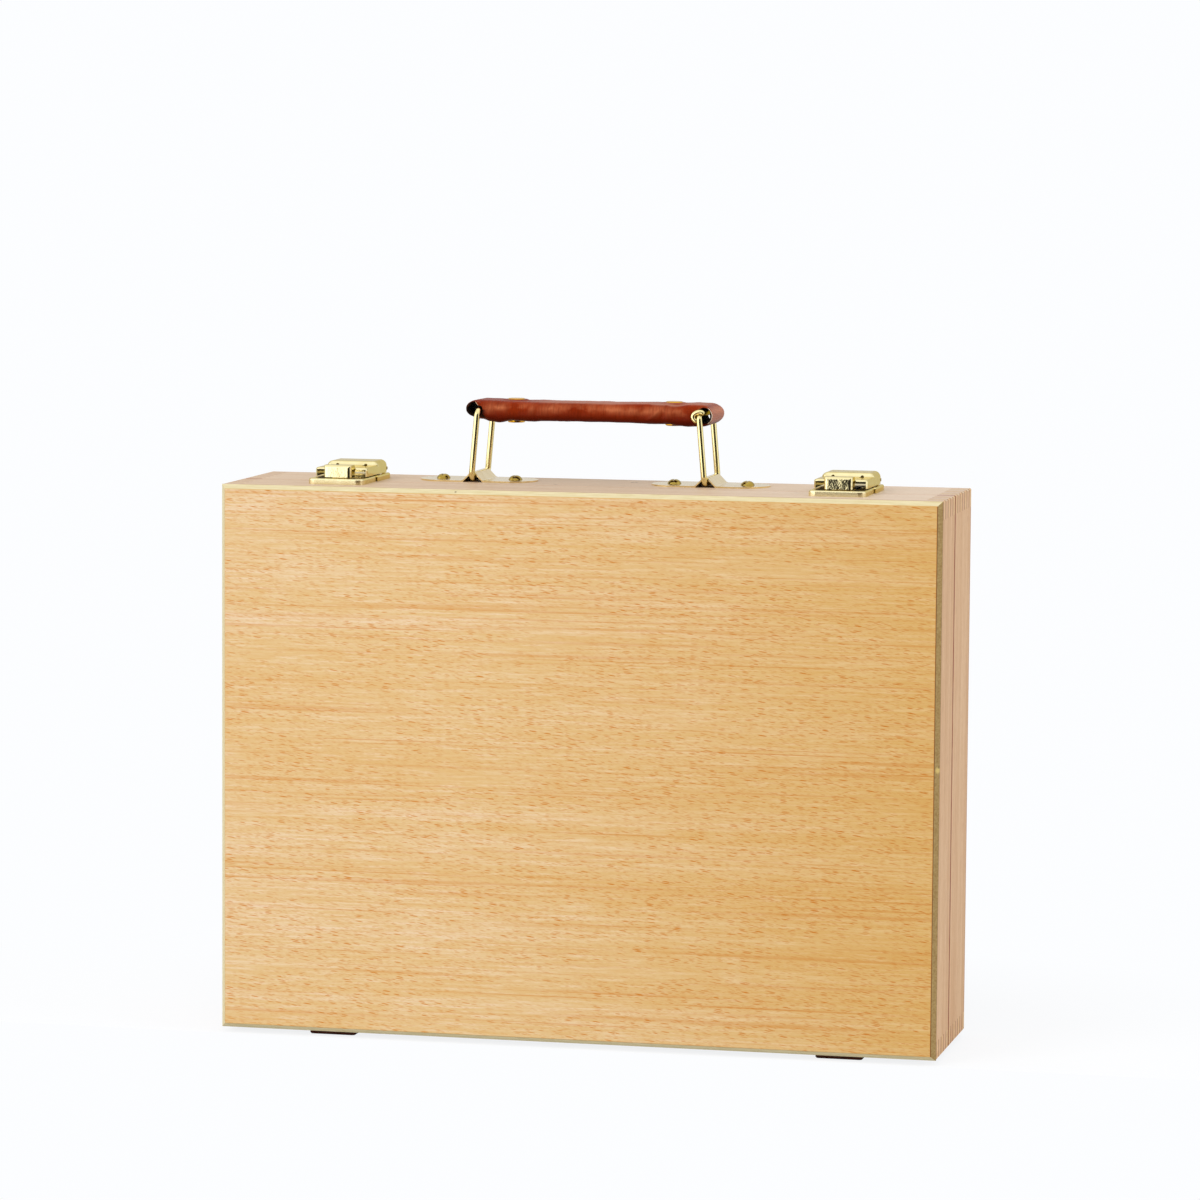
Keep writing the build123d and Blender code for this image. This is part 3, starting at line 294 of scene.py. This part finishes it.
def face_ply(name, front, step, seed, warmth_and_shade=0.0, knot=None, specks=()):
    """Veneered ply: beech on its faces, and pale layers where an edge or a bevel cuts them. Its face lies at
    the depth front, in millimetres, and step is 1 where its layers follow towards +Y and -1 towards -Y."""
    g = Graph(name)
    colour, height = grain(g, X, FACE, seed)
    # darker and warmer towards the right: partly the wood's own tone, partly painted shade where the light
    # from the left falls off
    along = g.span(g.axes()[X], -0.075, 0.2)
    colour = g.mix(g.times(along, warmth_and_shade), colour, (0.88, 0.78, 0.535, 1), "MULTIPLY")
    # a dark line where the face meets its bevels: the veneer's dark edge, with painted shade along the bottom
    # end
    edge = g.math("MAXIMUM", nearness(g, g.axes()[X], *BEVEL_SIDE), nearness(g, g.axes()[Z], *BEVEL_ENDS))
    colour = g.mix(g.times(edge, 0.75), colour, lin(188, 116, 44))
    depth = g.times(g.math("SUBTRACT", g.axes()[Y], front * MM), step / MM)
    facing = g.math("ABSOLUTE", g.axes("Normal")[Y])
    # painted shade: the core and the veneers are darker where they face right, away from the light
    right = g.span(g.axes("Normal")[X], 0.2, 0.5)
    fuzz = g.noise(g.scaled((90, 900, 900), shift(seed + 2)), detail=3)
    core = g.ramp(fuzz, (0.3, lin(219, 207, 168)), (0.7, lin(204, 189, 144)))
    core = g.mix(right, core, g.ramp(fuzz, (0.3, lin(168, 142, 90)), (0.7, lin(144, 114, 64))))
    veneer = g.ramp(fuzz, (0.3, lin(206, 168, 104)), (0.7, lin(190, 146, 84)))
    veneer = g.mix(right, veneer, lin(112, 74, 28))
    if knot:
        core = g.mix(spot(g, knot, 2.4), core, lin(210, 184, 112))
        core = g.mix(spot(g, tuple(c + d for c, d in zip(knot, (0, 0.6, 1.6))), 1.2), core, lin(106, 84, 44))
    layers = g.mix(g.span(depth, FRONT_VENEER - 0.05, FRONT_VENEER + 0.05), veneer, core)
    layers = g.mix(g.span(depth, BACK_VENEER - 0.1, BACK_VENEER + 0.1), layers, veneer)
    layers = specked(g, layers, specks)
    colour = g.mix(g.span(facing, 0.9, 0.94), layers, colour)
    return g.surface(Base_Color=colour, Normal=g.bump(height, 0.3, 0.05 * MM), **WOOD_SURFACE)


# ---------------------------------------------------------------- other materials
TARNISH = (0.8, 0.68, 0.42, 1)      # what it leaves of the metal's red, green and blue


def brass(name, colour, rough=0.12, ripple=0.3, tarnish=0.3, wave=0.0, rim=(1, 1, 1, 1)):
    """Plated brass: bright, with a faint orange peel and a little tarnish. It has its rim's colour where it
    is seen at a flat angle."""
    g = Graph(name)
    cloud = g.noise(g.scaled((160, 160, 160)), detail=3)
    peel = g.noise(g.scaled((1100, 1100, 1100)), detail=2)
    swell = g.noise(g.scaled((190, 190, 190)), detail=1)
    dull = tuple(c * k for c, k in zip(colour, TARNISH))
    tint = g.mix(g.span(cloud, 0.35, 0.75, 0.0, tarnish), colour, dull)
    shine = g.math("ADD", rough, g.times(g.span(cloud, 0.3, 0.8), 0.05))
    relief = g.math("ADD", g.times(peel, 0.3), g.times(swell, wave))
    return g.surface(Base_Color=tint, Metallic=1.0, Roughness=shine, Specular_Tint=rim,
                     Normal=g.bump(relief, ripple, 0.2 * MM))


def mottled(name, low, high):
    """A dull material with fine mottling between two colours."""
    g = Graph(name)
    cloud = g.noise(g.scaled((900, 900, 900)), detail=4, rough=0.65)
    return g.surface(Base_Color=g.ramp(cloud, (0.3, low), (0.7, high)), Roughness=0.7, Specular_IOR_Level=0.3,
                     Normal=g.bump(cloud, 0.5, 0.1 * MM))


def dress(material, *names):
    """Gives CAD nodes a material in place of their plain one."""
    for name in names:
        for slot in NODES[name].material_slots:
            slot.material = material


DARK_SPECK, FAINT_SPECK = lin(84, 52, 40), lin(150, 116, 92)
PANEL_SPECKS = [((-67, -48, 301.5), 0.9, DARK_SPECK)]
dress(face_ply("lid_ply", -50, 1, 3, warmth_and_shade=1.0, knot=(198, -47.6, 159.7), specks=PANEL_SPECKS), "lid_panel")
dress(face_ply("base_ply", 50, -1, 8), "base_panel")
dress(face_ply("palette_ply", 10, 1, 21), "palette")


def joints(side, count):
    """Places in depth where the fingers of a frame meet, from the box of one of its sides."""
    low, high = (corner.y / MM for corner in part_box(side))
    return tuple(low + (high - low) * k / count for k in range(1, count))


# where the boards' ends with their fingers start along a rail and up a side, and the way on from there
RAIL_ENDS = ((188.8, 0.3), (-188.8, -0.3))
SIDE_ENDS = ((292.8, 0.3), (13.2, -0.3))
PANEL_JOINT, BACK_JOINT = (-46.0,), (50.0,)
RAIL_SPECKS = [((-24.1, 4.7, 303), 1.5, FAINT_SPECK), ((13.1, 31.6, 303), 1.5, DARK_SPECK),
               ((15.0, 32.6, 303), 1.3, DARK_SPECK)]
for first, half, fingers, parting, top_specks in (
    (31, "lid", joints("lid_side_right", 5), (-5.4,), ()),
    (32, "base", joints("base_side_right", 7), (-5.0,), RAIL_SPECKS),
):
    # seams: dark lines of dirty glue and painted shade of the gaps at the finger joints, the parting and the
    # panel's and back's joints
    rail_seams = [(fingers, 1.4, 0.75, RAIL_ENDS), (parting, 2.0, 0.95, RAIL_ENDS), (parting, 0.9, 0.35, ()),
                  (PANEL_JOINT, 2.0, 0.8, ((40, 80),))]
    side_seams = [(fingers, 1.4, 0.75, SIDE_ENDS), (parting, 2.0, 0.95, ()), (BACK_JOINT, 3.4, 0.5, ())]
    for seed, board, axis, tones, sawn, seams, specks, pale in (
        (first, "latch_rail", X, RAIL, SIDE, rail_seams, top_specks, 0.3),
        (first + 2, "hinge_rail", X, RAIL, SIDE, rail_seams, (), 0.0),
        (first + 4, "side_left", Z, SIDE, RAIL, side_seams, (), 0.0),
        (first + 6, "side_right", Z, SIDE, RAIL, side_seams, (), 0.0),
    ):
        name = f"{half}_{board}"
        dress(wood(f"board_{name}", axis, tones, seed, sawn, seams, specks, pale, **BOARD_LOOK), name)
for seed, (name, axis) in enumerate((
    ("trough_divider", X), ("cell_divider_left", Z), ("cell_divider_right", Z), ("palette_ledge_left", Z),
    ("palette_ledge_right", Z), ("panel_strip_lower", X), ("panel_strip_upper", X),
), start=41):
    dress(wood(f"board_{name}", axis, SIDE, seed, **BOARD_LOOK), name)

GOLD = lin(241, 229, 178)
PALE_GOLD = lin(244, 233, 188)
RIM = (0.85, 0.74, 0.42, 1)
DARK_RIM = (0.45, 0.3, 0.08, 1)
screw = brass("brass_screw", lin(176, 152, 74), rough=0.18, tarnish=0.6)
polished = brass("brass_polished", GOLD, rough=0.1, ripple=0.3, wave=1.0, rim=RIM)
wire = brass("brass_wire", lin(240, 226, 166), rough=0.13, ripple=0.02, tarnish=0.15, rim=DARK_RIM)
sheet = brass("brass_sheet", lin(244, 222, 168), rough=0.16, wave=0.6)
for side, ripple in (("left", 0.5), ("right", 1.2)):
    hasp = brass(f"brass_hasp_{side}", GOLD, rough=0.08, ripple=ripple, wave=0.6, rim=RIM)
    catch = brass(f"brass_catch_{side}", PALE_GOLD, rough=0.22, ripple=0.15, wave=0.6, rim=RIM)
    dress(hasp, f"hasp_{side}")
    dress(catch, f"latch_catch_{side}")
    dress(polished, f"latch_base_{side}")
    dress(screw, f"hasp_pin_{side}")
dress(wire, "bail_left", "bail_right")
dress(sheet, "handle_plate_left", "handle_plate_right", "hinge_leaves_lid", "hinge_leaves_base", "hinge_pins",
      "stay_arm_left", "stay_arm_right", "stay_link_left", "stay_link_right",
      "turn_button_left", "turn_button_right")
dress(screw, "handle_screws", "hinge_screws_lid", "hinge_screws_base", "latch_screws_lid",
      "latch_screws_base", "turn_button_screws", "stay_pivot_left", "stay_pivot_right", "stay_rivet_left",
      "stay_rivet_right", "stay_stud_left", "stay_stud_right", "thumb_nut_left", "thumb_nut_right")
dress(brass("brass_rivet", lin(218, 164, 44), rough=0.2), "grip_rivets")
dress(mottled("foot_brown", lin(58, 22, 8), lin(98, 46, 18)), "lid_feet", "base_feet")


# ---------------------------------------------------------------- leather grip
GRIP_LOW, GRIP_HIGH = (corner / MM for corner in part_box("grip"))
GRIP_MID = (GRIP_LOW + GRIP_HIGH) / 2
HALF = (GRIP_HIGH - GRIP_LOW) / 2
OVERHANG = 7.2              # from the bails' bars to the grip's ends
HOLE_OUT = 2.2              # from a bar to the middle of its tunnel
HOLE_RADIUS = 4.2
RIVET_INSET = 17.6          # from a bar to the rivet beside it
HOLE_INSET = OVERHANG - HOLE_OUT
HOLES = (GRIP_LOW.x + HOLE_INSET, GRIP_HIGH.x - HOLE_INSET)
RIVETS = (GRIP_LOW.x + OVERHANG + RIVET_INSET, GRIP_HIGH.x - OVERHANG - RIVET_INSET)
# drop of the top and of the bottom along the grip, in millimetres, from its left end to its right
TOP_DROP = ((-72, 0.2), (-62, 0.3), (-50.7, 0.75), (-33, 0.75), (-11, 0.85), (10, 0.8), (25, 0.45), (31, 0.7),
            (38.3, 0.62), (45, 0.6), (50, 0.3), (56, 0.4), (62, 1.0))
BOTTOM_DROP = ((-73, -1.6), (-67, -0.6), (-62, 0.7), (-57.5, 1.2), (-50.7, 0.0), (-38, 0.3), (-33, -0.1),
               (3, -0.2), (22, 0.0), (31, 0.35), (38.3, 0.25), (44, 0.9), (49, 1.3), (56, 1.1), (63, 0.4))
# ridges of the front, and hollows where the height is negative: place along the grip, lean, width and height
RIDGES = ((-62.0, 0.2, 2.6, 0.55), (-66.6, 0.2, 1.6, -0.5), (-46, 0.0, 3.0, -0.25), (-38.4, 0.1, 1.3, 0.35),
          (-35.8, 0.0, 1.1, -0.25), (-30.5, 0.3, 3.6, 0.35), (24.5, 0.6, 3.4, -0.55), (31.2, 0.85, 1.9, 0.85),
          (35.6, 0.3, 1.4, -0.5), (38.6, 0.1, 1.9, 0.4), (46.5, -0.2, 2.4, -0.3))
RIVET_REACH, HOLE_REACH = 5.4, 0.6      # the leather keeps its height this near to a rivet or a tunnel,
EASE = 3.0                              # and is free this much further out
REAR_DROP = 0.35            # how far the top's rear edge hangs
DENT_X, DENT_WIDTH, DENT_DEPTH = 41.5, 4.5, 1.1     # in the top's front edge, beside the right rivet
# the strap's cut end at the left loop, from its upper corner down, measured from the middle of the tunnel
CUT_TOP, CUT_FOOT = (-0.45, 5.3), (2.8, 0.5)
LEAF_FOOT = 2.35            # the strap's corner ends above the bar's way
LEAF = 1.4                  # thickness of the strap
# from the right tunnel's middle to the lips in its mouths: the bar slides to and fro beside them as it swings
LIP_START = 3.35
LIP_DEPTH = 1.9             # and how far in from the mouths they reach
RIGHT_DROOP = 0.75          # how far the grip's right end hangs
VOXEL = 0.42                # of the even mesh


def along(table, x):
    """The value at x in a table of places and values, smoothed between them."""
    if x <= table[0][0]:
        return table[0][1]
    for (x0, v0), (x1, v1) in zip(table, table[1:]):
        if x <= x1:
            t = (x - x0) / (x1 - x0)
            return v0 + (v1 - v0) * t * t * (3 - 2 * t)
    return table[-1][1]


def bell(distance, width):
    return math.exp(-(distance / width) ** 2)


def share(value):
    """A value held between nothing and one."""
    return min(max(value, 0), 1)


def soften(p):
    """Where a point of the plain grip, in millimetres, comes to lie in the worn leather."""
    x, y, z = p.x, p.y - GRIP_MID.y, p.z - GRIP_MID.z
    high = share((z / HALF.z + 1) / 2)
    side = 1 if y > 0 else -1
    skin = share((abs(y) / HALF.y - 0.6) / 0.4)
    hole = min(math.hypot(x - centre, z) - HOLE_RADIUS for centre in HOLES)
    free = share((hole - HOLE_REACH) / EASE)
    rivet = min(math.hypot(x - r, y) for r in RIVETS)
    loose = share((rivet - RIVET_REACH) / EASE)
    top = high * along(TOP_DROP, x) * (loose if high > 0.5 else 1)
    bottom = (1 - high) * along(BOTTOM_DROP, x) * (loose if high < 0.5 else 1)
    z -= top + bottom
    rear = share(y / HALF.y * 0.5 + 0.5)
    z -= high * loose * rear * REAR_DROP
    z -= high * loose * (1 - rear) ** 2 * DENT_DEPTH * bell(x - DENT_X, DENT_WIDTH)
    swell = noise.noise(Vector((x * 0.085 + 3 * side, z * 0.05, side * 4.0)))
    swell = 0.6 * swell + 0.35 * noise.noise(Vector((x * 0.24, z * 0.16, side * 7.0)))
    ridges = sum(height * bell(x - place - lean * z, width) for place, lean, width, height in RIDGES)
    y += side * skin * free * (swell + (ridges if side < 0 else 0.4 * ridges) + 0.1)
    lift = 0.22 * noise.noise(Vector((x * 0.12, y * 0.11, 9.0 * (1 if z > 0 else -1))))
    lift += 0.08 * noise.noise(Vector((x * 0.5, y * 0.4, 5.0)))
    z += (1 if z > 0 else -1) * lift * free * loose
    x += 0.35 * free * noise.noise(Vector((y * 0.2, z * 0.3, x * 0.02)))
    return Vector((x, y + GRIP_MID.y, z + GRIP_MID.z))


def painted_highlight(g, x, z):
    """Painted highlight: the leather paler along the middle of its sides and on its ridges, where they would
    catch the light.
    """
    gleam_noise = g.noise(g.scaled((90, 40, 110), (3.1, 0, 0)), detail=3)
    belt = g.span(g.away(z, (GRIP_MID.z + 1.6) * MM), 3.6 * MM, 0.2 * MM)
    worn = g.times(belt, g.span(gleam_noise, 0.4, 0.62, 0.0, 0.6))
    belt = g.span(g.away(z, (GRIP_MID.z + 1.2) * MM), 4.4 * MM, 0.3 * MM)
    for place, lean, width, height in RIDGES:
        if height > 0:
            past = g.math("SUBTRACT", x, (place - lean * GRIP_MID.z) * MM)
            crest = g.span(g.away(past, g.times(z, lean)), width * 2.2 * MM, 0.0)
            worn = g.math("MAXIMUM", worn, g.times(g.times(crest, belt), 0.2 + 0.45 * height))
    return worn


def from_hole(g, x, z, centre, droop):
    """How far a point lies from the middle of a tunnel, in metres, where its end hangs by a droop."""
    dx = g.math("SUBTRACT", x, centre * MM)
    dz = g.math("SUBTRACT", z, (GRIP_MID.z - droop) * MM)
    return g.math("SQRT", g.math("ADD", g.times(dx, dx), g.times(dz, dz)))


def past_cut(g, x, z):
    """How far a point lies to the right of the strap's cut end at the left loop, in metres."""
    run = math.dist(CUT_TOP, CUT_FOOT)
    across = ((CUT_TOP[1] - CUT_FOOT[1]) / run, (CUT_FOOT[0] - CUT_TOP[0]) / run)
    dx = g.math("SUBTRACT", x, (HOLES[0] + CUT_FOOT[0]) * MM)
    dz = g.math("SUBTRACT", z, (GRIP_MID.z + CUT_FOOT[1]) * MM)
    return g.math("ADD", g.times(dx, across[0]), g.times(dz, across[1]))


def leather(name):
    """Smooth brown leather: painted shade makes it dark inside its loops, and it is pale where it is cut."""
    g = Graph(name)
    x, y, z = g.axes()
    normal = g.axes("Normal")
    level = GRIP_MID.z
    # the hide: mottled, with fine hairs; a painted highlight along the middle of its sides and on its ridges,
    # painted shade darker towards its lower edge, and a painted reflection paler where it faces up or right
    cloud = g.noise(g.scaled((45, 60, 60)), detail=4, rough=0.6)
    hair = g.noise(g.scaled((2400, 200, 200)), detail=2)
    colour = g.ramp(cloud, (0.3, lin(116, 30, 0)), (0.52, lin(130, 38, 1)), (0.75, lin(144, 46, 5)))
    # painted highlight along the middle of the sides and on the ridges
    colour = g.mix(painted_highlight(g, x, z), colour, lin(204, 120, 78))
    colour = g.mix(g.span(hair, 0.42, 0.7, 0.0, 0.4), colour, lin(84, 22, 2))
    # painted shade: darker towards the lower edge
    low = g.span(z, (level + 0.8) * MM, (level - 5.3) * MM, 0.0, 0.95)
    colour = g.mix(low, colour, lin(74, 8, 0))
    # painted reflection: paler on the top and where the end faces right
    painted_reflection = g.times(g.span(normal[Z], 0.86, 0.98), g.span(x, -42 * MM, -30 * MM, 0.0, 0.4))
    painted_reflection = g.math("MAXIMUM", painted_reflection, g.times(g.span(normal[X], 0.5, 0.85), 0.6))
    colour = g.mix(painted_reflection, colour, lin(190, 122, 92))
    # the right loop's cut rim
    facing = g.span(g.math("ABSOLUTE", normal[Y]), 0.55, 0.75)
    left, right = (from_hole(g, x, z, centre, droop) for centre, droop in zip(HOLES, (0.0, RIGHT_DROOP)))
    fray = g.noise(g.scaled((1400, 1400, 1400)), detail=3)
    cut = g.mix(g.span(fray, 0.35, 0.65), lin(150, 128, 108), lin(214, 196, 178))
    rim = g.times(g.span(right, 5.0 * MM, 4.85 * MM), g.span(x, (HOLES[1] + 1.5) * MM, (HOLES[1] + 2.5) * MM))
    rim = g.times(rim, facing)
    colour = g.mix(rim, colour, cut)
    # the left loop: painted shade, black in the tunnel's mouth beyond the strap's cut end and dark where the
    # leather folds in, and a pale line along the cut
    bank = past_cut(g, x, z)
    end = g.times(facing, g.span(left, 7.5 * MM, 7.3 * MM))
    colour = g.mix(g.times(end, g.span(bank, 0.0, -0.05 * MM)), colour, lin(22, 11, 7))
    above = g.span(z, (level + CUT_FOOT[1] - 0.4) * MM, (level + CUT_FOOT[1]) * MM)
    fold_shade = g.times(g.span(left, 6.6 * MM, 4.6 * MM), g.math("SUBTRACT", 1.0, above))
    colour = g.mix(g.times(fold_shade, facing), colour, lin(40, 12, 4))
    pale = g.times(g.times(end, above), nearness(g, bank, (0.15,), 0.34))
    # painted shade: dark inside both tunnels, but not on the strap's corner in front of the left one
    front = g.span(y, (GRIP_LOW.y + LEAF + 0.4) * MM, (GRIP_LOW.y + LEAF) * MM)
    leaf = g.times(g.times(front, g.span(bank, -0.05 * MM, 0.0)),
                   g.span(z, (level + LEAF_FOOT - 0.5) * MM, (level + LEAF_FOOT - 0.3) * MM))
    inside = [g.span(gap, (HOLE_RADIUS + 0.35) * MM, (HOLE_RADIUS + 0.15) * MM) for gap in (left, right)]
    tunnel_shade = g.math("MAXIMUM", g.times(inside[0], g.math("SUBTRACT", 1.0, leaf)), inside[1])
    colour = g.mix(tunnel_shade, colour, g.mix(g.span(fray, 0.4, 0.7), lin(20, 12, 9), lin(44, 26, 18)))
    colour = g.mix(pale, colour, lin(206, 178, 146))
    pebble = g.pebbles(g.scaled((1300, 1300, 1300)))
    height = g.math("ADD", g.times(pebble, 0.3), g.times(hair, 0.8))
    return g.surface(Base_Color=colour, Roughness=g.span(g.math("MAXIMUM", tunnel_shade, rim), 0.0, 1.0, 0.4, 0.9),
                     Specular_IOR_Level=0.07, Normal=g.bump(height, 0.3, 0.1 * MM))


def prism(work, outline, near, far):
    """Adds a closed prism with an outline in x and z, in millimetres, from one depth to another."""
    ends = [[work.verts.new((px * MM, depth * MM, pz * MM)) for px, pz in outline] for depth in (near, far)]
    work.faces.new(ends[0])
    work.faces.new(ends[1])
    for k in range(len(outline)):
        work.faces.new((ends[0][k - 1], ends[0][k], ends[1][k], ends[1][k - 1]))


def arc(middle, radius, start, stop, steps=16):
    """Points of an arc in x and z, between two angles in degrees."""
    turns = (math.radians(start + (stop - start) * k / steps) for k in range(steps + 1))
    return [(middle[0] + radius * math.cos(t), middle[1] + radius * math.sin(t)) for t in turns]


def strap(work):
    """Adds the strap's corner at the plain grip's left loop, and a lip in both mouths of its right one."""
    left, right, level = HOLES[0], HOLES[1], GRIP_MID.z
    slope = (CUT_FOOT[0] - CUT_TOP[0]) / (CUT_TOP[1] - CUT_FOOT[1])
    low = CUT_TOP[0] + slope * (CUT_TOP[1] - LEAF_FOOT)
    corner = [(CUT_TOP[0] + slope * 0.7, CUT_TOP[1] - 0.7), (low, LEAF_FOOT), (4.3, LEAF_FOOT), (3.6, 3.3),
              (2.2, 4.7), (0.9, 5.1)]
    prism(work, [(left + px, level + pz) for px, pz in corner], GRIP_LOW.y + 0.1, GRIP_LOW.y + LEAF)
    wall = HOLE_RADIUS + 0.5
    reach = math.degrees(math.acos(LIP_START / wall))
    for mouth, inward in ((GRIP_LOW.y + 0.1, 1), (GRIP_HIGH.y - 0.1, -1)):
        prism(work, arc((right, level), wall, -reach, reach), mouth, mouth + LIP_DEPTH * inward)


def added(name, data):
    """A new object in the scene."""
    obj = bpy.data.objects.new(name, data)
    bpy.context.scene.collection.objects.link(obj)
    return obj


def applied(obj):
    """An object's new mesh, with its modifiers applied."""
    bpy.context.view_layer.update()
    mesh = bpy.data.meshes.new_from_object(obj.evaluated_get(bpy.context.evaluated_depsgraph_get()))
    obj.modifiers.clear()
    obj.data = mesh
    return mesh


def grip():
    """The leather in place of the plain grip: an even mesh of it, pulled into its worn shape."""
    mesh = NODES["grip"].data.copy()
    work = bmesh.new()
    work.from_mesh(mesh)
    bmesh.ops.remove_doubles(work, verts=work.verts, dist=0.01 * MM)
    strap(work)
    bmesh.ops.recalc_face_normals(work, faces=work.faces)
    work.to_mesh(mesh)
    work.free()
    obj = added("grip_leather", mesh)
    even = obj.modifiers.new("even", "REMESH")
    even.mode = "VOXEL"
    even.voxel_size = VOXEL * MM
    for vertex in applied(obj).vertices:
        vertex.co = soften(vertex.co / MM) * MM
    relax = obj.modifiers.new("relax", "SMOOTH")
    relax.factor, relax.iterations = 0.5, 3
    smooth = applied(obj)
    smooth.materials.clear()
    smooth.materials.append(leather("leather_brown"))
    smooth.shade_smooth()
    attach(obj, "grip")
    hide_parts("grip")


grip()


# ---------------------------------------------------------------- stage
WHITE = (0.975, 0.985, 1.0, 1.0)
FLOOR_REACH = 1.7           # from the box's middle to the floor's sides and far edge, in metres
# the camera's place in millimetres, its turns in degrees, and its focal length in pixels of the picture
CAMERA_PLACE = (634.19, -2762.36, 522.11)
CAMERA_TURNS = (-12.883, 5.674, 0.386)
FOCAL, PICTURE = 5202.5, 1200
SENSOR = 36


def seen_and_mirrored(g):
    """One where the camera sees a thing, also through glass, and one where a polished surface mirrors it."""
    path = g.add("ShaderNodeLightPath").outputs
    return g.math("MAXIMUM", path["Is Camera Ray"], path["Is Transmission Ray"]), path["Is Glossy Ray"]


def either(g, factor, low, high):
    """A shader that is one node's where the factor is nothing and another's where it is one."""
    return g.add("ShaderNodeMixShader", {0: factor, 1: low.outputs[0], 2: high.outputs[0]})


def floor():
    """Pale floor: it keeps the box's faint shadow near it and turns into the white background. It ends
    where the box's front stands, as a shelf does, because the opened lid hangs down past it."""
    left, right, front, back = -FLOOR_REACH, FLOOR_REACH, cad_low[Y], FLOOR_REACH
    mesh = bpy.data.meshes.new("floor")
    corners = [(left, front, 0), (right, front, 0), (right, back, 0), (left, back, 0)]
    mesh.from_pydata(corners, [], [range(len(corners))])
    obj = added("floor", mesh)
    g = Graph("floor_white")
    seen, _ = seen_and_mirrored(g)
    away = g.add("ShaderNodeVectorMath", {0: g.scaled((1.0, 1.5, 1.0))}, operation="LENGTH").outputs["Value"]
    near = g.span(away, 0.5, 0.28)
    lit = g.times(near, 0.14)
    tone = g.add("ShaderNodeCombineColor", {0: lit, 1: lit, 2: lit}).outputs[0]
    faint = g.add("ShaderNodeBsdfDiffuse", {"Color": tone})
    glow = g.add("ShaderNodeEmission", {"Color": WHITE, "Strength": g.span(near, 0.0, 1.0, 1.0, 0.86)})
    shown = g.add("ShaderNodeAddShader", {0: faint.outputs[0], 1: glow.outputs[0]})
    bounce = g.add("ShaderNodeBsdfDiffuse", {"Color": (0.75, 0.75, 0.76, 1)})
    obj.data.materials.append(g.shade(either(g, seen, bounce, shown)))


def world():
    """White to the camera, soft light to the rest, and for polished metal a studio with a dark side."""
    g = Graph("studio", "worlds", "ShaderNodeOutputWorld")
    seen, mirrored = seen_and_mirrored(g)
    x, y, z = g.axes("Generated")
    # the way round the box, in degrees: nothing at its front, and positive on its right
    turn = g.times(g.math("ARCTAN2", x, g.times(y, -1.0)), 180 / math.pi)
    low = g.span(z, 0.7, 0.5)
    dark = g.times(g.times(g.span(turn, -15.5, -11), g.span(turn, 72, 60)), g.span(z, 0.5, 0.35))
    box = g.times(g.times(g.span(turn, -100, -88), g.span(turn, -13, -16)), low)
    right = g.times(g.times(g.span(turn, 60, 70), g.span(turn, 128, 112)), low)
    level = 0.74
    for light, strength in ((box, 1.2), (right, 0.45), (g.span(z, 0.4, 0.98), 0.5)):
        level = g.math("ADD", level, g.times(light, strength))
    level = g.times(level, g.math("SUBTRACT", 1.0, g.times(dark, 0.96)))
    studio, soft, white = (g.add("ShaderNodeBackground", {"Color": colour, "Strength": strength})
                           for colour, strength in (((1, 1, 1, 1), level),
                                                    ((1, 1, 1, 1), g.span(z, 0.7, 0.92, 0.76, 0.5)),
                                                    (WHITE, 1.0)))
    bpy.context.scene.world = g.shade(either(g, seen, either(g, mirrored, soft, studio), white))


def lamp(name, place, target, size, power):
    """A broad soft light that polished metal doesn't mirror: places and size in metres, power in watts."""
    data = bpy.data.lights.new(name, "AREA")
    data.shape = "RECTANGLE"
    data.size, data.size_y = size
    data.energy = power
    obj = added(name, data)
    obj.location = place
    obj.rotation_euler = (Vector(target) - Vector(place)).to_track_quat("-Z", "Y").to_euler()
    obj.visible_glossy = False


def camera():
    yaw, pitch, roll = (math.radians(turn) for turn in CAMERA_TURNS)
    ahead = Vector((math.sin(yaw) * math.cos(pitch), math.cos(yaw) * math.cos(pitch), -math.sin(pitch)))
    right = Vector((math.cos(yaw), -math.sin(yaw), 0))
    up = right.cross(ahead)
    side = right * math.cos(roll) + up * math.sin(roll)
    top = up * math.cos(roll) - right * math.sin(roll)
    data = bpy.data.cameras.new("camera")
    data.sensor_width = SENSOR
    data.lens = FOCAL / PICTURE * SENSOR
    data.clip_start, data.clip_end = 0.05, 50
    obj = added("camera", data)
    turned = Matrix((side, top, -ahead)).transposed().to_4x4()
    obj.matrix_world = Matrix.Translation(Vector(CAMERA_PLACE) * MM) @ turned
    bpy.context.scene.camera = obj


floor()
world()
camera()
lamp("key", (-3.1, -4.3, 3.2), (0, 0, 0.15), (3.0, 3.0), 145)
lamp("top", (0.2, -2.4, 3.4), (0, 0, 0.2), (2.4, 2.4), 36)
lamp("right", (3.6, -1.0, 1.6), (0, 0, 0.2), (2.0, 2.6), 34)
bpy.context.scene.view_settings.view_transform = "Standard"
